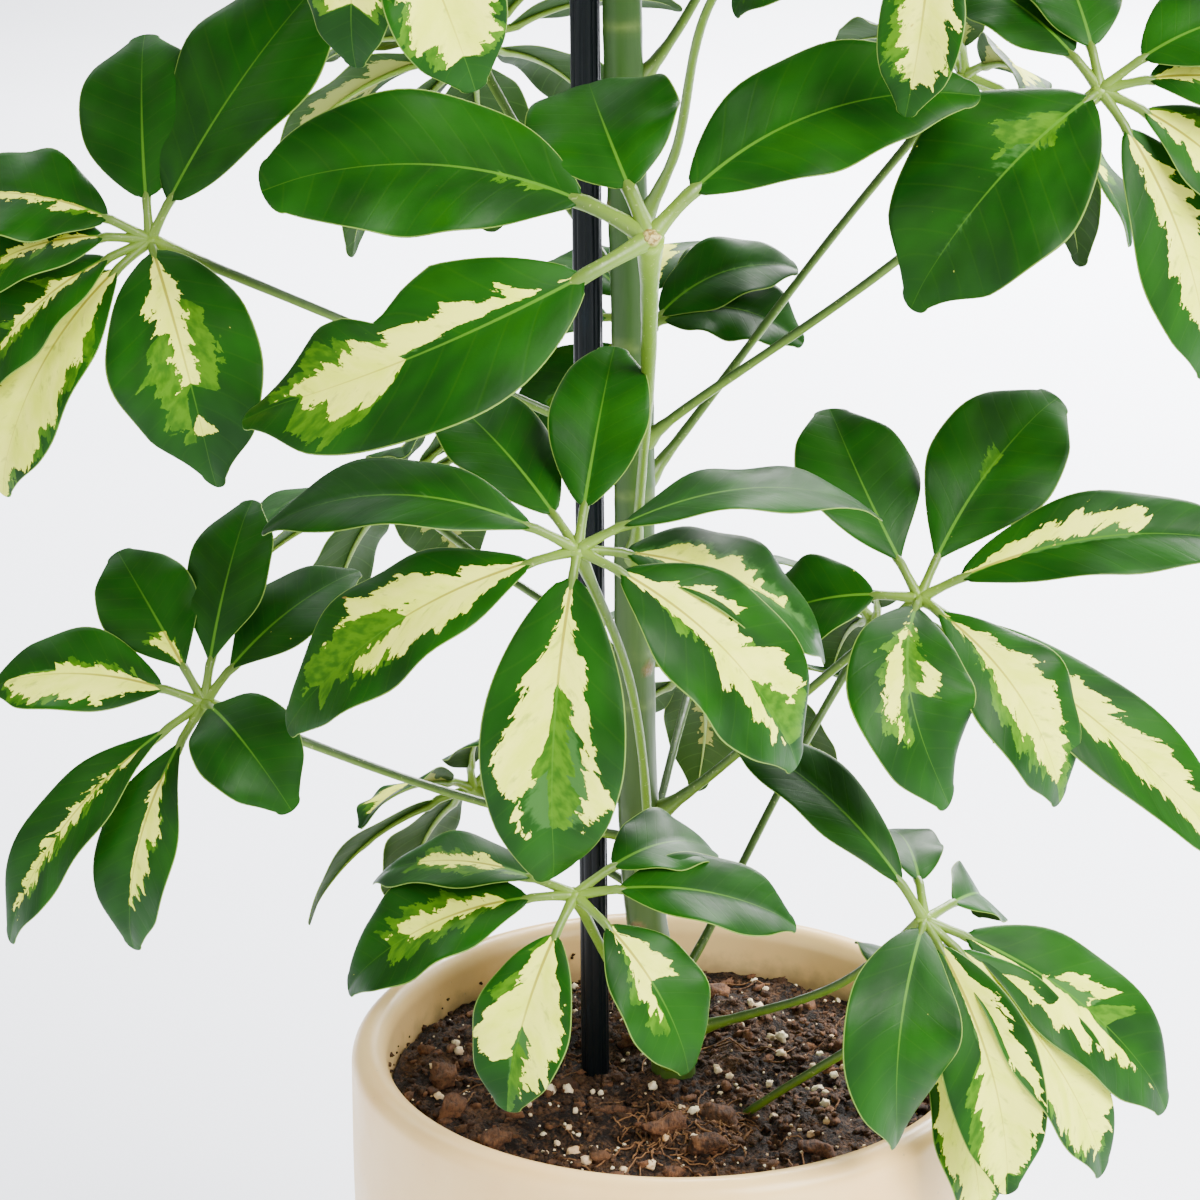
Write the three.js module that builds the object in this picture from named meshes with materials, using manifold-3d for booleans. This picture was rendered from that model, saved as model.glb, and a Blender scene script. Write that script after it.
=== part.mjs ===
// Potted umbrella plant: a dwarf schefflera with variegated leaves in a round ceramic pot.
//
// Units are millimetres, +Z is up, +X is to the right and -Y is towards the viewer. The origin is
// the centre of the pot's flat base. Every compound leaf is one closed solid (its stalk and all
// its leaflets), whose stalk ends against the green trunk.

import * as THREE from 'three';
import { mergeVertices } from 'three/addons/utils/BufferGeometryUtils.js';
import Module from 'manifold-3d';

const wasm = await Module();
wasm.setup();

// ---------------------------------------------------------------- driving dimensions

const GAP = 0.3; // clearance between pieces that touch on the real plant
const WELD = 0.002; // corners closer than this are one

const POT = {
  radius: 98, // widest, just under the shoulder
  footRadius: 90, // flat base before its rounded edge
  height: 177,
  wall: 11,
  floor: 14,
  cove: 12, // rounding between the floor and the wall inside
  taper: 5, // how far the inside narrows towards the floor
  lip: 5.5, // rounding of the rim
  edge: 7, // rounding at the foot
  sides: 40,
};

const SOIL = {
  top: 161, // mean level, 16 mm under the rim
  lump: 3, // height of the crumbs and hollows
  heap: 3, // how far the middle stands above the edge
  rings: 4,
  sides: 24,
  seed: 71,
};

const STAKE = {
  foot: [-22.4, 4, 40],
  head: [-27.6, 4, 642],
  radius: 4.3,
  groove: 0.45, // depth of the fine ridges that run up it
  ridges: 9,
};

// Trunk centre line from the root crown in the soil to the growing tip: [x, y, z, radius].
const TRUNK = [
  [2, 0, 72, 2.6],
  [2, 0, 110, 7.4],
  [1, 0, 145, 7.2],
  [0, 0, 172, 6.6],
  [-5, 0, 196, 6.3],
  [-9, 0, 225, 6.1],
  [-11, 0, 262, 6.0],
  [-12, 0, 310, 5.9],
  [-12, 0, 360, 5.8],
  [-13.5, 0, 420, 5.7],
  [-15.5, 1, 480, 5.5],
  [-16.5, 2, 540, 5.1],
  [-16, 3, 590, 4.6],
  [-15, 3, 632, 3.8],
];
const TRUNK_SIDES = 9;

const BLADE = {
  thickness: 0.7,
  rib: 0.7, // how far the midrib stands out under the blade
  stalk: 11, // usual bare stalk between the hub and the blade
  longestStalk: 0.22, // and at most this share of the leaflet
  stalkRadius: 1.15,
  cup: 0.1, // how far the edges stand above the midrib, of the half width
  ribbedStations: [0.2, 0.46, 0.72, 0.92], // along a blade with a folded midrib
  plainStations: [0.24, 0.54, 0.84], // along a flat blade
};

const PETIOLE = { radius: 1.8, baseRadius: 3.5, hubRadius: 3, sides: 5 };

// ---------------------------------------------------------------- the compound leaves

// Leaves that are shaped one by one. `stem` is the stalk's route from the trunk's centre line to
// the hub, `face` the way the hub looks, and each leaflet is
// [tip x, y, z from the hub, width, arch, sway, roll in degrees, bare stalk if not the usual one]:
// the midrib rises `arch` above the straight line from hub to tip and bends `sway` to the side.
// `girth` is how much stouter than usual the leaf's stalks are.
const SHAPED_LEAVES = [
  {
    name: 'leaf_front_middle',
    stem: [[-9, 0, 226], [-8, -22, 254], [-14, -58, 315]],
    hub: [-28, -85, 361],
    face: [0, -0.5, 0.87],
    leaflets: [
      [-6, -10, -92, 39, 14, 2, 0, 6],
      [-80, 5, -53, 38, 13, 0, 0],
      [-86, 15, 1, 28, 17, 0, 4],
      [-38, 48, 30, 28, 6, 0, 0],
      [10, 40, 46, 27, 4, 0, 0],
      [83, 20, 4, 30, 16, 0, -22],
      [70, 28, -40, 34, 12, 0, 0],
      [60, -3, -61, 43, 14, 0, 0],
    ],
  },
  {
    name: 'leaf_front_low',
    stem: [[1, 0, 166], [-6, -15, 183], [-18, -44, 219]],
    hub: [-29, -74, 256],
    face: [0, -0.45, 0.9],
    leaflets: [
      [-19, -20, -57, 28, 12, 0, 0],
      [32, -14, -48, 29, 11, 0, 0],
      [63, 8, -13, 27, 9, 0, 0],
      [40, 30, 1, 25, 10, 0, 0],
      [-65, 0, -29, 33, 12, 0, 0],
      [-58, 22, -4, 26, 10, 0, 12],
    ],
  },
  {
    name: 'leaf_right_middle',
    stem: [[-11, 0, 246], [10, -5, 264], [42, -24, 302]],
    hub: [68, -40, 332],
    face: [0.15, -0.6, 0.78],
    leaflets: [
      [7, -34, -49, 36, 16, 12, 0, 3],
      [40, -18, -55, 33, 17, 2, 0, 5],
      [98, -2, -84, 30, 10, 1, 0],
      [98, 12, 11, 28, 12, -4, 0],
      [42, 38, 49, 37, 4, -4, 0],
      [-24, 38, 45, 36, 4, -3, 0],
      [-46, 14, -14, 30, 8, 0, 0],
    ],
  },
  {
    name: 'leaf_right_low',
    stem: [[1, 0, 178], [20, -14, 190], [48, -42, 214]],
    hub: [70, -62, 243],
    face: [0.25, -0.6, 0.76],
    leaflets: [
      [-8, -26, -58, 34, 18, 9, 0, 2],
      [24, -22, -76, 28, 12, 0, 25, 7],
      [54, -8, -77, 30, 12, 0, 0],
      [74, 6, -63, 36, 9, -4, 0],
      [-56, 34, 44, 22, 12, 0, 0],
      [-9, 45, 9, 22, 9, 0, 0],
      [19, 42, -16, 22, 10, 0, 0],
    ],
  },
  {
    name: 'leaf_right_lowest',
    stem: [[1, 0, 140], [12, -16, 152], [34, -36, 178]],
    hub: [66, -52, 208],
    face: [0.3, -0.5, 0.81],
    leaflets: [
      [22, -16, -60, 26, 10, 0, 0],
      [46, 10, -18, 25, 9, 0, 0],
      [24, 36, -2, 24, 8, 0, 0],
      [-6, 40, 4, 22, 7, 0, 0],
    ],
  },
  {
    name: 'leaf_left_middle',
    stem: [[-10, 0, 243], [-18, -13, 249], [-70, -26, 269]],
    hub: [-135, -36, 299],
    face: [-0.2, -0.55, 0.81],
    leaflets: [
      [-62, 6, 3, 29, 10, 0, 0],
      [-27, 28, 37, 29, 4, 0, 0],
      [12, 34, 51, 26, 4, 0, 0],
      [43, 30, 30, 26, 7, 0, 0],
      [27, -30, -21, 30, 12, 0, 0, 5],
      [-59, -8, -71, 25, 13, 0, 0],
      [-22, -14, -71, 27, 12, 0, 0],
    ],
  },
  {
    name: 'leaf_left_upper',
    stem: [[-12, 0, 368], [-24, -14, 374], [-82, -26, 404]],
    hub: [-145, -36, 434],
    face: [-0.2, -0.55, 0.81],
    leaflets: [
      [-58, 8, 9, 33, 10, 0, 0],
      [-4, 36, 51, 36, 4, 0, 0],
      [52, 30, 72, 44, 6, 0, 0],
      [18, -22, -64, 42, 15, -3, 0, 3],
      [-42, -16, -68, 34, 12, 0, 0],
      [-50, -10, -43, 28, 10, 0, 0],
      [-54, -2, -14, 28, 9, 0, 0],
    ],
  },
  {
    name: 'leaf_front_upper',
    girth: 1.35,
    stem: [[-12, 0, 328], [-11, -18, 350], [-9, -50, 396]],
    hub: [-9, -85, 446],
    face: [0, -0.4, 0.92],
    leaflets: [
      [-101, 5, 12, 41, 6, 12, -30, 18],
      [-109, 0, -48, 47, 8, -17, -28, 18],
      [-16, 46, 32, 42, 8, -3, -12, 14],
      [86, 14, 35, 36, 8, -10, 25, 14],
    ],
  },
  {
    name: 'leaf_right_upper',
    stem: [[-12, 0, 364], [0, -6, 376], [56, -30, 424]],
    hub: [111, -50, 478],
    face: [0.1, -0.6, 0.79],
    leaflets: [
      [-51, -16, -56, 50, 14, 0, 0, 3],
      [31, -12, -76, 32, 11, 0, 0],
      [52, 0, -47, 30, 10, 0, 0],
      [58, 8, -8, 28, 10, 0, 0],
      [52, 20, 14, 32, 12, 0, 0],
      [-36, 30, 26, 28, 6, 0, 0],
      [-12, 36, 34, 28, 6, 0, 0],
    ],
  },
  {
    name: 'leaf_back_upper',
    plain: true,
    stem: [[-12, 0, 322], [-14, 18, 334], [-12, 40, 364]],
    hub: [-7, 52, 387],
    face: [0.05, -0.45, 0.89],
    leaflets: [
      [45, 6, 17, 28, 7, -3, 0, 4],
      [46, -8, -3, 30, 9, -2, 0, 4],
      [34, 34, 8, 26, 8, 0, 0],
      [4, 52, 12, 28, 10, 0, 0],
      [-32, 42, 10, 27, 9, 0, 0],
      [-60, 10, -12, 30, 11, 0, 0],
      [-40, -8, -38, 26, 9, 0, 0],
    ],
  },
  {
    name: 'leaf_crown_front_left',
    plain: true,
    stem: [[-16, 1, 508], [-32, -24, 518], [-54, -64, 532]],
    hub: [-75, -95, 541],
    face: [-0.2, -0.5, 0.84],
    leaflets: [
      [-8, -10, -47, 25, 8, 0, 0],
      [22, -10, -53, 30, 9, 0, 0],
      [-66, -6, -16, 30, 10, 0, 0],
      [-52, 26, 20, 30, 8, 0, 0],
      [-4, 40, 34, 28, 6, 0, 0],
      [60, 8, 6, 30, 10, 0, 0],
    ],
  },
  {
    name: 'leaf_crown_front_right',
    plain: true,
    stem: [[-14, 0, 424], [-2, -20, 453], [12, -58, 510]],
    hub: [62, -75, 534],
    face: [0.15, -0.5, 0.85],
    leaflets: [
      [-6, -12, -56, 22, 9, 0, 20],
      [-50, 4, -32, 30, 10, 0, 0],
      [66, -2, -8, 32, 11, 0, 0],
      [46, 30, 26, 30, 8, 0, 0],
      [2, 42, 36, 28, 6, 0, 0],
      [-44, 30, 24, 28, 8, 0, 0],
    ],
  },
];

// Leaves that follow one rule: leaflets fanned round the hub, the longest one opposite the stalk.
// [name, height on the trunk, hub x, y, z, leaflets, longest leaflet, seed]
const FANNED_LEAVES = [
  ['leaf_back_right_upper', 350, 85, 48, 464, 7, 76, 11],
  ['leaf_back_left_upper', 392, -60, 78, 466, 8, 80, 13],
  ['leaf_back_left_middle', 285, -86, 80, 326, 7, 78, 14],
  ['leaf_back_left_low', 212, -62, 56, 236, 7, 70, 15],
  ['leaf_back_middle', 232, 8, 88, 262, 7, 72, 16],
  ['leaf_back_right_middle', 186, 64, 66, 288, 7, 58, 17],
  ['leaf_crown_back', 500, 6, 92, 548, 8, 78, 21],
  ['leaf_crown_left', 520, -112, -10, 574, 8, 74, 22],
  ['leaf_crown_right', 466, 66, 24, 596, 7, 72, 23],
  ['leaf_crown_back_left', 558, -62, 62, 618, 7, 64, 24],
  ['leaf_crown_front', 576, -24, -66, 630, 7, 60, 25],
  ['leaf_crown_top_right', 594, 26, 0, 672, 7, 48, 26],
  ['leaf_crown_top_left', 612, -46, -2, 680, 6, 42, 27],
];

const FAN = {
  spread: 300, // degrees round the hub that the leaflets fill
  droop: 30, // degrees below the hub's plane, on the outward side
  lift: -14, // and on the stalk's side
  shortest: 0.7, // length of the leaflets beside the stalk, of the longest
  slimness: 0.4, // width for its length
  arch: 0.12, // rise of the midrib above its chord, of the length
  lean: 0.5, // how far the hub's face tips outward
};

const FAN_STEM = {
  exitLength: 15, // first stretch, away from the trunk
  exitRise: 0.14, // and its share of the whole rise
  bendAt: 0.6, // share of the way out at the bend
  bendRise: 0.62, // share of the rise at the bend
  pastStake: 8, // how far stalks on the stake's side swing round it
};

// ---------------------------------------------------------------- colours

const finish = (color, roughness, name) =>
  new THREE.MeshStandardMaterial({ color, roughness, metalness: 0, name });

const FINISHES = {
  ceramic: () => finish(0xe4d8c4, 0.35, 'cream glaze'),
  soil: () => finish(0x3d2a20, 0.95, 'peat'),
  stake: () => finish(0x141b26, 0.5, 'dark stake'),
  trunk: () => finish(0x5f8f35, 0.55, 'green stem'),
  leaf: () => finish(0x2f6b22, 0.3, 'glossy leaf'),
  youngLeaf: () => finish(0x7fae3c, 0.35, 'young leaf'),
};

// ---------------------------------------------------------------- helpers

const vec = (list) => new THREE.Vector3(list[0], list[1], list[2]);

/** A repeatable run of numbers from 0 to 1 (Lehmer generator). */
function drawFrom(seed) {
  let state = seed * 7919;
  return () => {
    state = (state * 48271) % 2147483647;
    return state / 2147483647;
  };
}

/** The manifold-3d solid of a closed three.js geometry. */
function toSolid(geometry) {
  const bare = geometry.clone();
  bare.deleteAttribute('normal');
  bare.deleteAttribute('uv');
  const merged = mergeVertices(bare, 1e-4);
  return new wasm.Manifold(new wasm.Mesh({
    numProp: 3,
    vertProperties: new Float32Array(merged.attributes.position.array),
    triVerts: new Uint32Array(merged.index.array),
  }));
}

/** A three.js geometry of a manifold-3d solid. */
function toGeometry(solid) {
  const mesh = solid.getMesh();
  const cut = new THREE.BufferGeometry();
  cut.setAttribute('position', new THREE.BufferAttribute(new Float32Array(mesh.vertProperties), 3));
  cut.setIndex(new THREE.BufferAttribute(new Uint32Array(mesh.triVerts), 1));
  const welded = mergeVertices(cut, WELD);
  const corners = welded.index.array;
  const faces = [];
  for (let t = 0; t < corners.length; t += 3) {
    const [a, b, c] = corners.slice(t, t + 3);
    if (a !== b && b !== c && c !== a) faces.push(a, b, c);
  }
  welded.setIndex(faces);
  welded.computeVertexNormals();
  return welded;
}

/**
 * A closed skin over a row of rings with equally many points, listed anticlockwise seen from
 * ahead. The last ring closes flat or on an apex, and the diagonals mirror each other across the
 * ring, so the two faces of a blade are split alike.
 */
function loft(rings, apex = null) {
  const count = rings[0].length;
  const positions = rings.flat().flatMap((p) => [p.x, p.y, p.z]);
  const faces = [];
  for (let i = 0; i + 1 < rings.length; i++) {
    for (let k = 0; k < count; k++) {
      const a = i * count + k;
      const b = i * count + ((k + 1) % count);
      const c = a + count;
      const d = b + count;
      if (k < count / 2) faces.push(a, b, d, a, d, c);
      else faces.push(a, b, c, b, d, c);
    }
  }
  const last = (rings.length - 1) * count;
  for (let k = 1; k + 1 < count; k++) {
    faces.push(0, k + 1, k);
    if (!apex) faces.push(last, last + k, last + k + 1);
  }
  if (apex) {
    positions.push(apex.x, apex.y, apex.z);
    for (let k = 0; k < count; k++) faces.push(last + k, last + ((k + 1) % count), last + count);
  }
  const geometry = new THREE.BufferGeometry();
  geometry.setAttribute('position', new THREE.Float32BufferAttribute(positions, 3));
  geometry.setIndex(faces);
  return geometry;
}

/** A ring of points round a centre, square to the direction of travel. */
function ringRound(centre, along, radius, sides) {
  const side = new THREE.Vector3(0, 1, 0).cross(along);
  if (side.lengthSq() < 0.05) side.set(1, 0, 0).cross(along);
  side.normalize();
  const up = along.clone().cross(side).normalize();
  return Array.from({ length: sides }, (_, k) => {
    const turn = (2 * Math.PI * k) / sides;
    return centre.clone()
      .addScaledVector(side, radius * Math.cos(turn))
      .addScaledVector(up, radius * Math.sin(turn));
  });
}

// ---------------------------------------------------------------- pot, soil, stake and trunk

/** Points of a quarter circle in the pot's profile, as [r, z]. */
function quarter(centreR, centreZ, radius, fromDegrees, steps) {
  return Array.from({ length: steps + 1 }, (_, k) => {
    const turn = THREE.MathUtils.degToRad(fromDegrees + (90 * k) / steps);
    return new THREE.Vector2(centreR + radius * Math.cos(turn), centreZ + radius * Math.sin(turn));
  });
}

/** The radius of the pot's inside at a height: a cove above the floor, then a slight taper. */
function potInnerRadius(z) {
  const { radius, height, wall, floor, lip, cove, taper } = POT;
  const mouth = radius - wall;
  if (z <= floor) return mouth - taper - cove * 0.8;
  return mouth - taper * (1 - (z - floor - cove) / (height - lip - floor - cove));
}

/** The round pot: flat base, soft foot, slightly swelling side and a thick rounded rim. */
function potSolid() {
  const { radius, footRadius, height, wall, floor, cove, lip, edge } = POT;
  const inner = radius - wall;
  const profile = [
    new THREE.Vector2(0, 0),
    ...quarter(footRadius - edge, edge, edge, -90, 2),
    new THREE.Vector2(radius - 2, height * 0.4),
    new THREE.Vector2(radius, height * 0.72),
    ...quarter(radius - lip, height - lip, lip, 0, 3),
    ...quarter(inner + lip, height - lip, lip, 90, 2),
    new THREE.Vector2(potInnerRadius(floor + cove), floor + cove),
    new THREE.Vector2(potInnerRadius(floor), floor),
    new THREE.Vector2(0, floor),
  ];
  return toSolid(new THREE.LatheGeometry(profile, POT.sides).rotateX(Math.PI / 2));
}

/** The soil: fills the pot from its floor, with an uneven, slightly heaped top. */
function soilSolid() {
  const { top, lump, heap, rings, sides, seed } = SOIL;
  const draw = drawFrom(seed);
  const insideOfFacets = Math.cos(Math.PI / POT.sides);
  const clear = (r) => r * insideOfFacets - 2 * GAP;
  const edge = top - 4;
  const levels = [
    [clear(potInnerRadius(POT.floor)), POT.floor + GAP],
    [clear(potInnerRadius(POT.floor + POT.cove)), POT.floor + POT.cove],
    [clear(potInnerRadius(edge)), edge],
  ];
  const skins = levels.map(([r, z]) => ringOfSoil(r, sides, () => z));
  for (let k = rings - 1; k >= 1; k--) {
    const share = k / rings;
    const r = clear(potInnerRadius(top)) * share;
    skins.push(ringOfSoil(r, sides, () => top + heap * (1 - share * share) + lump * (draw() - 0.5)));
  }
  skins.push(ringOfSoil(2, sides, () => top + heap));
  return toSolid(loft(skins));
}

function ringOfSoil(radius, sides, heightAt) {
  return Array.from({ length: sides }, (_, k) => {
    const turn = (2 * Math.PI * k) / sides;
    return new THREE.Vector3(radius * Math.cos(turn), radius * Math.sin(turn), heightAt());
  });
}

/** The ridged support stake, grown by `extra` all round where a hole for it is cut. */
function stakeSolid(extra = 0) {
  const { foot, head, radius, groove, ridges } = STAKE;
  const outline = new THREE.Shape(Array.from({ length: ridges * 2 }, (_, k) => {
    const turn = (Math.PI * k) / ridges;
    const r = radius + extra - (k % 2 ? groove : 0);
    return new THREE.Vector2(r * Math.cos(turn), r * Math.sin(turn));
  }));
  const start = vec(foot);
  const end = vec(head);
  const along = end.clone().sub(start).normalize();
  start.addScaledVector(along, -extra);
  end.addScaledVector(along, extra);
  const extrudePath = new THREE.LineCurve3(start, end);
  return toSolid(new THREE.ExtrudeGeometry(outline, { steps: 1, extrudePath }));
}

/** The trunk, grown by `extra` all round where its neighbours are cut clear of it. */
function trunkSolid(extra = 0) {
  const rings = TRUNK.map(([x, y, z, radius], k) => {
    const before = vec(TRUNK[Math.max(k - 1, 0)]);
    const after = vec(TRUNK[Math.min(k + 1, TRUNK.length - 1)]);
    const along = after.sub(before).normalize();
    const centre = new THREE.Vector3(x, y, z);
    if (k === 0) centre.addScaledVector(along, -extra);
    if (k === TRUNK.length - 1) centre.addScaledVector(along, extra);
    return ringRound(centre, along, radius + extra, TRUNK_SIDES);
  });
  return toSolid(loft(rings));
}

// ---------------------------------------------------------------- leaves

/** Half the width of a blade at a share of its length, of its greatest. */
const outlineAt = (share) => Math.sin(Math.PI * share ** 0.9) ** 0.72;

/**
 * One leaflet with its own short stalk, from inside the hub to its tip. A ribbed blade is folded
 * a little along its midrib, with three points on each face; a plain one is flat across.
 */
function leafletSolid(hub, face, leaflet, ribbed, girth) {
  const [dx, dy, dz, width, arch, sway, roll, stalk = BLADE.stalk] = leaflet;
  const tip = hub.clone().add(new THREE.Vector3(dx, dy, dz));
  const chord = tip.clone().sub(hub);
  const length = chord.length();
  chord.normalize();
  const up = face.clone().addScaledVector(chord, -face.dot(chord)).normalize();
  const side = chord.clone().cross(up);
  const middle = hub.clone().lerp(tip, 0.5).addScaledVector(up, 2 * arch).addScaledVector(side, 2 * sway);
  const midrib = new THREE.QuadraticBezierCurve3(hub, middle, tip);
  const stalkShare = Math.min(stalk / length, BLADE.longestStalk);

  const section = (t, half, cup, above, below) => {
    const along = midrib.getTangent(t);
    const normal = face.clone().addScaledVector(along, -face.dot(along)).normalize();
    normal.applyAxisAngle(along, THREE.MathUtils.degToRad(roll));
    const across = normal.clone().cross(along);
    const edge = Math.min(above, BLADE.thickness / 2);
    const at = (u, w) => midrib.getPoint(t).addScaledVector(across, u).addScaledVector(normal, w);
    if (!ribbed) return [at(half, above), at(-half, above), at(-half, -above), at(half, -above)];
    return [
      at(half, cup + edge), at(0, above), at(-half, cup + edge),
      at(-half, cup - edge), at(0, -below), at(half, cup - edge),
    ];
  };
  const r = BLADE.stalkRadius * girth;
  const t2 = BLADE.thickness / 2;
  const rings = [section(0, r / 2, 0, r / 2, r / 2), section(stalkShare, r, 0, r, r)];
  for (const share of ribbed ? BLADE.ribbedStations : BLADE.plainStations) {
    const half = (width / 2) * outlineAt(share);
    const t = stalkShare + (1 - stalkShare) * share;
    rings.push(section(t, half, BLADE.cup * half, t2, t2 + BLADE.rib * (1 - share)));
  }
  return toSolid(loft(rings, tip));
}

/** The stalk from the trunk's centre line to the hub: swollen at its base and at the hub. */
function petioleSolid(stem, hub, girth = 1, extra = 0) {
  const { baseRadius, sides } = PETIOLE;
  const radius = PETIOLE.radius * girth;
  const hubRadius = PETIOLE.hubRadius * girth;
  const route = new THREE.CatmullRomCurve3([...stem.map(vec), hub]);
  const stations = [[0, baseRadius], [0.12, baseRadius], [0.22, radius], [0.42, radius], [0.62, radius],
    [0.82, radius], [0.97, radius], [1, hubRadius]];
  const rings = stations.map(([share, r]) =>
    ringRound(route.getPoint(share), route.getTangent(share), r + extra, sides));
  const along = route.getTangent(1);
  return toSolid(loft(rings, hub.clone().addScaledVector(along, hubRadius)));
}

/** The whole compound leaf, trimmed where its stalk meets the trunk. */
function leafSolid({ stem, hub, face, leaflets, girth = 1 }, cutter, ribbed) {
  const hubPoint = vec(hub);
  const facing = vec(face).normalize();
  let leaf = petioleSolid(stem, hubPoint, girth);
  for (const leaflet of leaflets) {
    leaf = leaf.add(leafletSolid(hubPoint, facing, leaflet, ribbed, girth));
  }
  return leaf.subtract(cutter);
}

/** The centre line of the trunk at a height. */
function trunkCentre(z) {
  const k = TRUNK.findIndex((row) => row[2] >= z);
  const [low, high] = [TRUNK[k - 1], TRUNK[k]];
  const share = (z - low[2]) / (high[2] - low[2]);
  return [0, 1, 2].map((axis) => low[axis] + (high[axis] - low[axis]) * share);
}

/** A stalk's route by the rule; on the stake's side it first leaves to the front or the back. */
function fannedStem(root, hub, outward) {
  const { exitLength, exitRise, bendAt, bendRise, pastStake } = FAN_STEM;
  const goesPast = outward.x < -0.3;
  const exit = goesPast ? new THREE.Vector3(0, Math.sign(outward.y), 0) : outward;
  const run = hub.clone().sub(root);
  const leaving = root.clone().addScaledVector(exit, exitLength);
  leaving.z += run.z * exitRise;
  const bend = root.clone().add(new THREE.Vector3(run.x * bendAt, run.y * bendAt, run.z * bendRise));
  if (goesPast) bend.y += exit.y * pastStake;
  return [root.toArray(), leaving.toArray(), bend.toArray()];
}

/** A leaf by the rule: leaflets fanned round a hub whose face tips outward from the trunk. */
function fannedLeaf([name, height, x, y, z, count, longest, seed]) {
  const draw = drawFrom(seed);
  const root = trunkCentre(height);
  const hub = new THREE.Vector3(x, y, z);
  const outward = new THREE.Vector3(x - root[0], y - root[1], 0).normalize();
  const face = new THREE.Vector3(0, 0, 1).addScaledVector(outward, FAN.lean).normalize();
  const ahead = outward.clone().addScaledVector(face, -outward.dot(face)).normalize();
  const leaflets = Array.from({ length: count }, (_, k) => {
    const vary = (range) => range * (draw() - 0.5);
    const turn = THREE.MathUtils.degToRad(FAN.spread * (k / (count - 1) - 0.5) + vary(12));
    const forward = (1 + Math.cos(turn)) / 2;
    const length = longest * (FAN.shortest + (1 - FAN.shortest) * forward) * (1 + vary(0.12));
    const droop = THREE.MathUtils.degToRad(FAN.lift + (FAN.droop - FAN.lift) * forward + vary(10));
    const tip = ahead.clone().applyAxisAngle(face, turn).multiplyScalar(Math.cos(droop))
      .addScaledVector(face, -Math.sin(droop)).multiplyScalar(length);
    const width = length * FAN.slimness * (1 + vary(0.16));
    return [tip.x, tip.y, tip.z, width, length * FAN.arch, vary(6), vary(24)];
  });
  const stem = fannedStem(vec(root), hub, outward);
  return { name, stem, hub: hub.toArray(), face: face.toArray(), leaflets };
}

// The growing tip: a few narrow young leaflets that still stand upright.
const SHOOT = {
  name: 'young_shoot',
  stem: [[-15.4, 3, 618], [-15, 2.6, 636], [-14, 1, 650]],
  hub: [-13, -0.5, 664],
  face: [0, -0.3, 0.95],
  leaflets: [
    [-19, -14, 23, 9, 3, 0, 0],
    [12, -19, 25, 9, 3, 0, 0],
    [21, 9, 21, 8, 3, 0, 0],
    [-3, 21, 27, 9, 3, 0, 0],
    [-1, -3, 36, 7, 1, 0, 0],
  ],
};

// ---------------------------------------------------------------- assembly

function named(name, solid, material) {
  const mesh = new THREE.Mesh(toGeometry(solid), material);
  mesh.name = name;
  return mesh;
}

const clearOfTrunk = trunkSolid(GAP);
const lowest = SHAPED_LEAVES.find((leaf) => leaf.name === 'leaf_right_lowest');
const soil = soilSolid()
  .subtract(clearOfTrunk)
  .subtract(stakeSolid(GAP))
  .subtract(petioleSolid(lowest.stem, vec(lowest.hub), 1, GAP));

const plant = new THREE.Group();
plant.add(
  named('pot', potSolid(), FINISHES.ceramic()),
  named('soil', soil, FINISHES.soil()),
  named('stake', stakeSolid(), FINISHES.stake()),
  named('trunk', trunkSolid(), FINISHES.trunk()),
);
for (const leaf of SHAPED_LEAVES) {
  plant.add(named(leaf.name, leafSolid(leaf, clearOfTrunk, !leaf.plain), FINISHES.leaf()));
}
for (const leaf of FANNED_LEAVES.map(fannedLeaf)) {
  plant.add(named(leaf.name, leafSolid(leaf, clearOfTrunk, false), FINISHES.leaf()));
}
plant.add(named(SHOOT.name, leafSolid(SHOOT, clearOfTrunk, false), FINISHES.youngLeaf()));

export default plant;
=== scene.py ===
"""Looks of the potted umbrella plant: variegated leaves, stems, stake, soil and pot, in its studio.

The tables are in millimetres, as on a drawing board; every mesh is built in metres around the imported
frame. +Z is up, +X is to the right and -Y is towards the viewer.
"""

import logging
import math
from dataclasses import dataclass
from enum import Enum, IntEnum
from typing import Callable, NamedTuple, Sequence

import bpy
import numpy as np
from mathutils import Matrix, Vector, noise


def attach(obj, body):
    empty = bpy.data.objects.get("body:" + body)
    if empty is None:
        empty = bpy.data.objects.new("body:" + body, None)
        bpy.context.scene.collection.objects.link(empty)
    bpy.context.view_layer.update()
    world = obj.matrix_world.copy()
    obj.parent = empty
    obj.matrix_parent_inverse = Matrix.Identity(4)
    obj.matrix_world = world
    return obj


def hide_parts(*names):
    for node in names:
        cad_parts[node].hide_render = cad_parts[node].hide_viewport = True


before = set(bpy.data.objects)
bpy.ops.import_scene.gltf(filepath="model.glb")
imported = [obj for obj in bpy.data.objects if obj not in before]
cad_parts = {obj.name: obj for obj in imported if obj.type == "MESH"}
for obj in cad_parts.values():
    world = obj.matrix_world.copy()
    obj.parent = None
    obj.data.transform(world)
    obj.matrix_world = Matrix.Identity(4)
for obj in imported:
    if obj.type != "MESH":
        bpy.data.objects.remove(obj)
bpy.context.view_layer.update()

LOG = logging.getLogger("umbrella_plant")
MM = 0.001
BODY = "root"

Triple = tuple[float, float, float]
Colour = tuple[float, float, float]
Draw = Callable[[], float]
Faces = list[tuple[int, ...]]


# ---------------------------------------------------------------- small tools

def srgb(red: int, green: int, blue: int) -> Colour:
    """A colour as light.

    Args:
        red: the red channel's usual screen value, from 0 to 255.
        green: the green channel's.
        blue: the blue channel's.

    Returns:
        The three channels as light.
    """
    def light(value: int) -> float:
        """One channel as light."""
        share = value / 255
        return share / 12.92 if share <= 0.04045 else ((share + 0.055) / 1.055) ** 2.4
    return light(red), light(green), light(blue)


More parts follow.
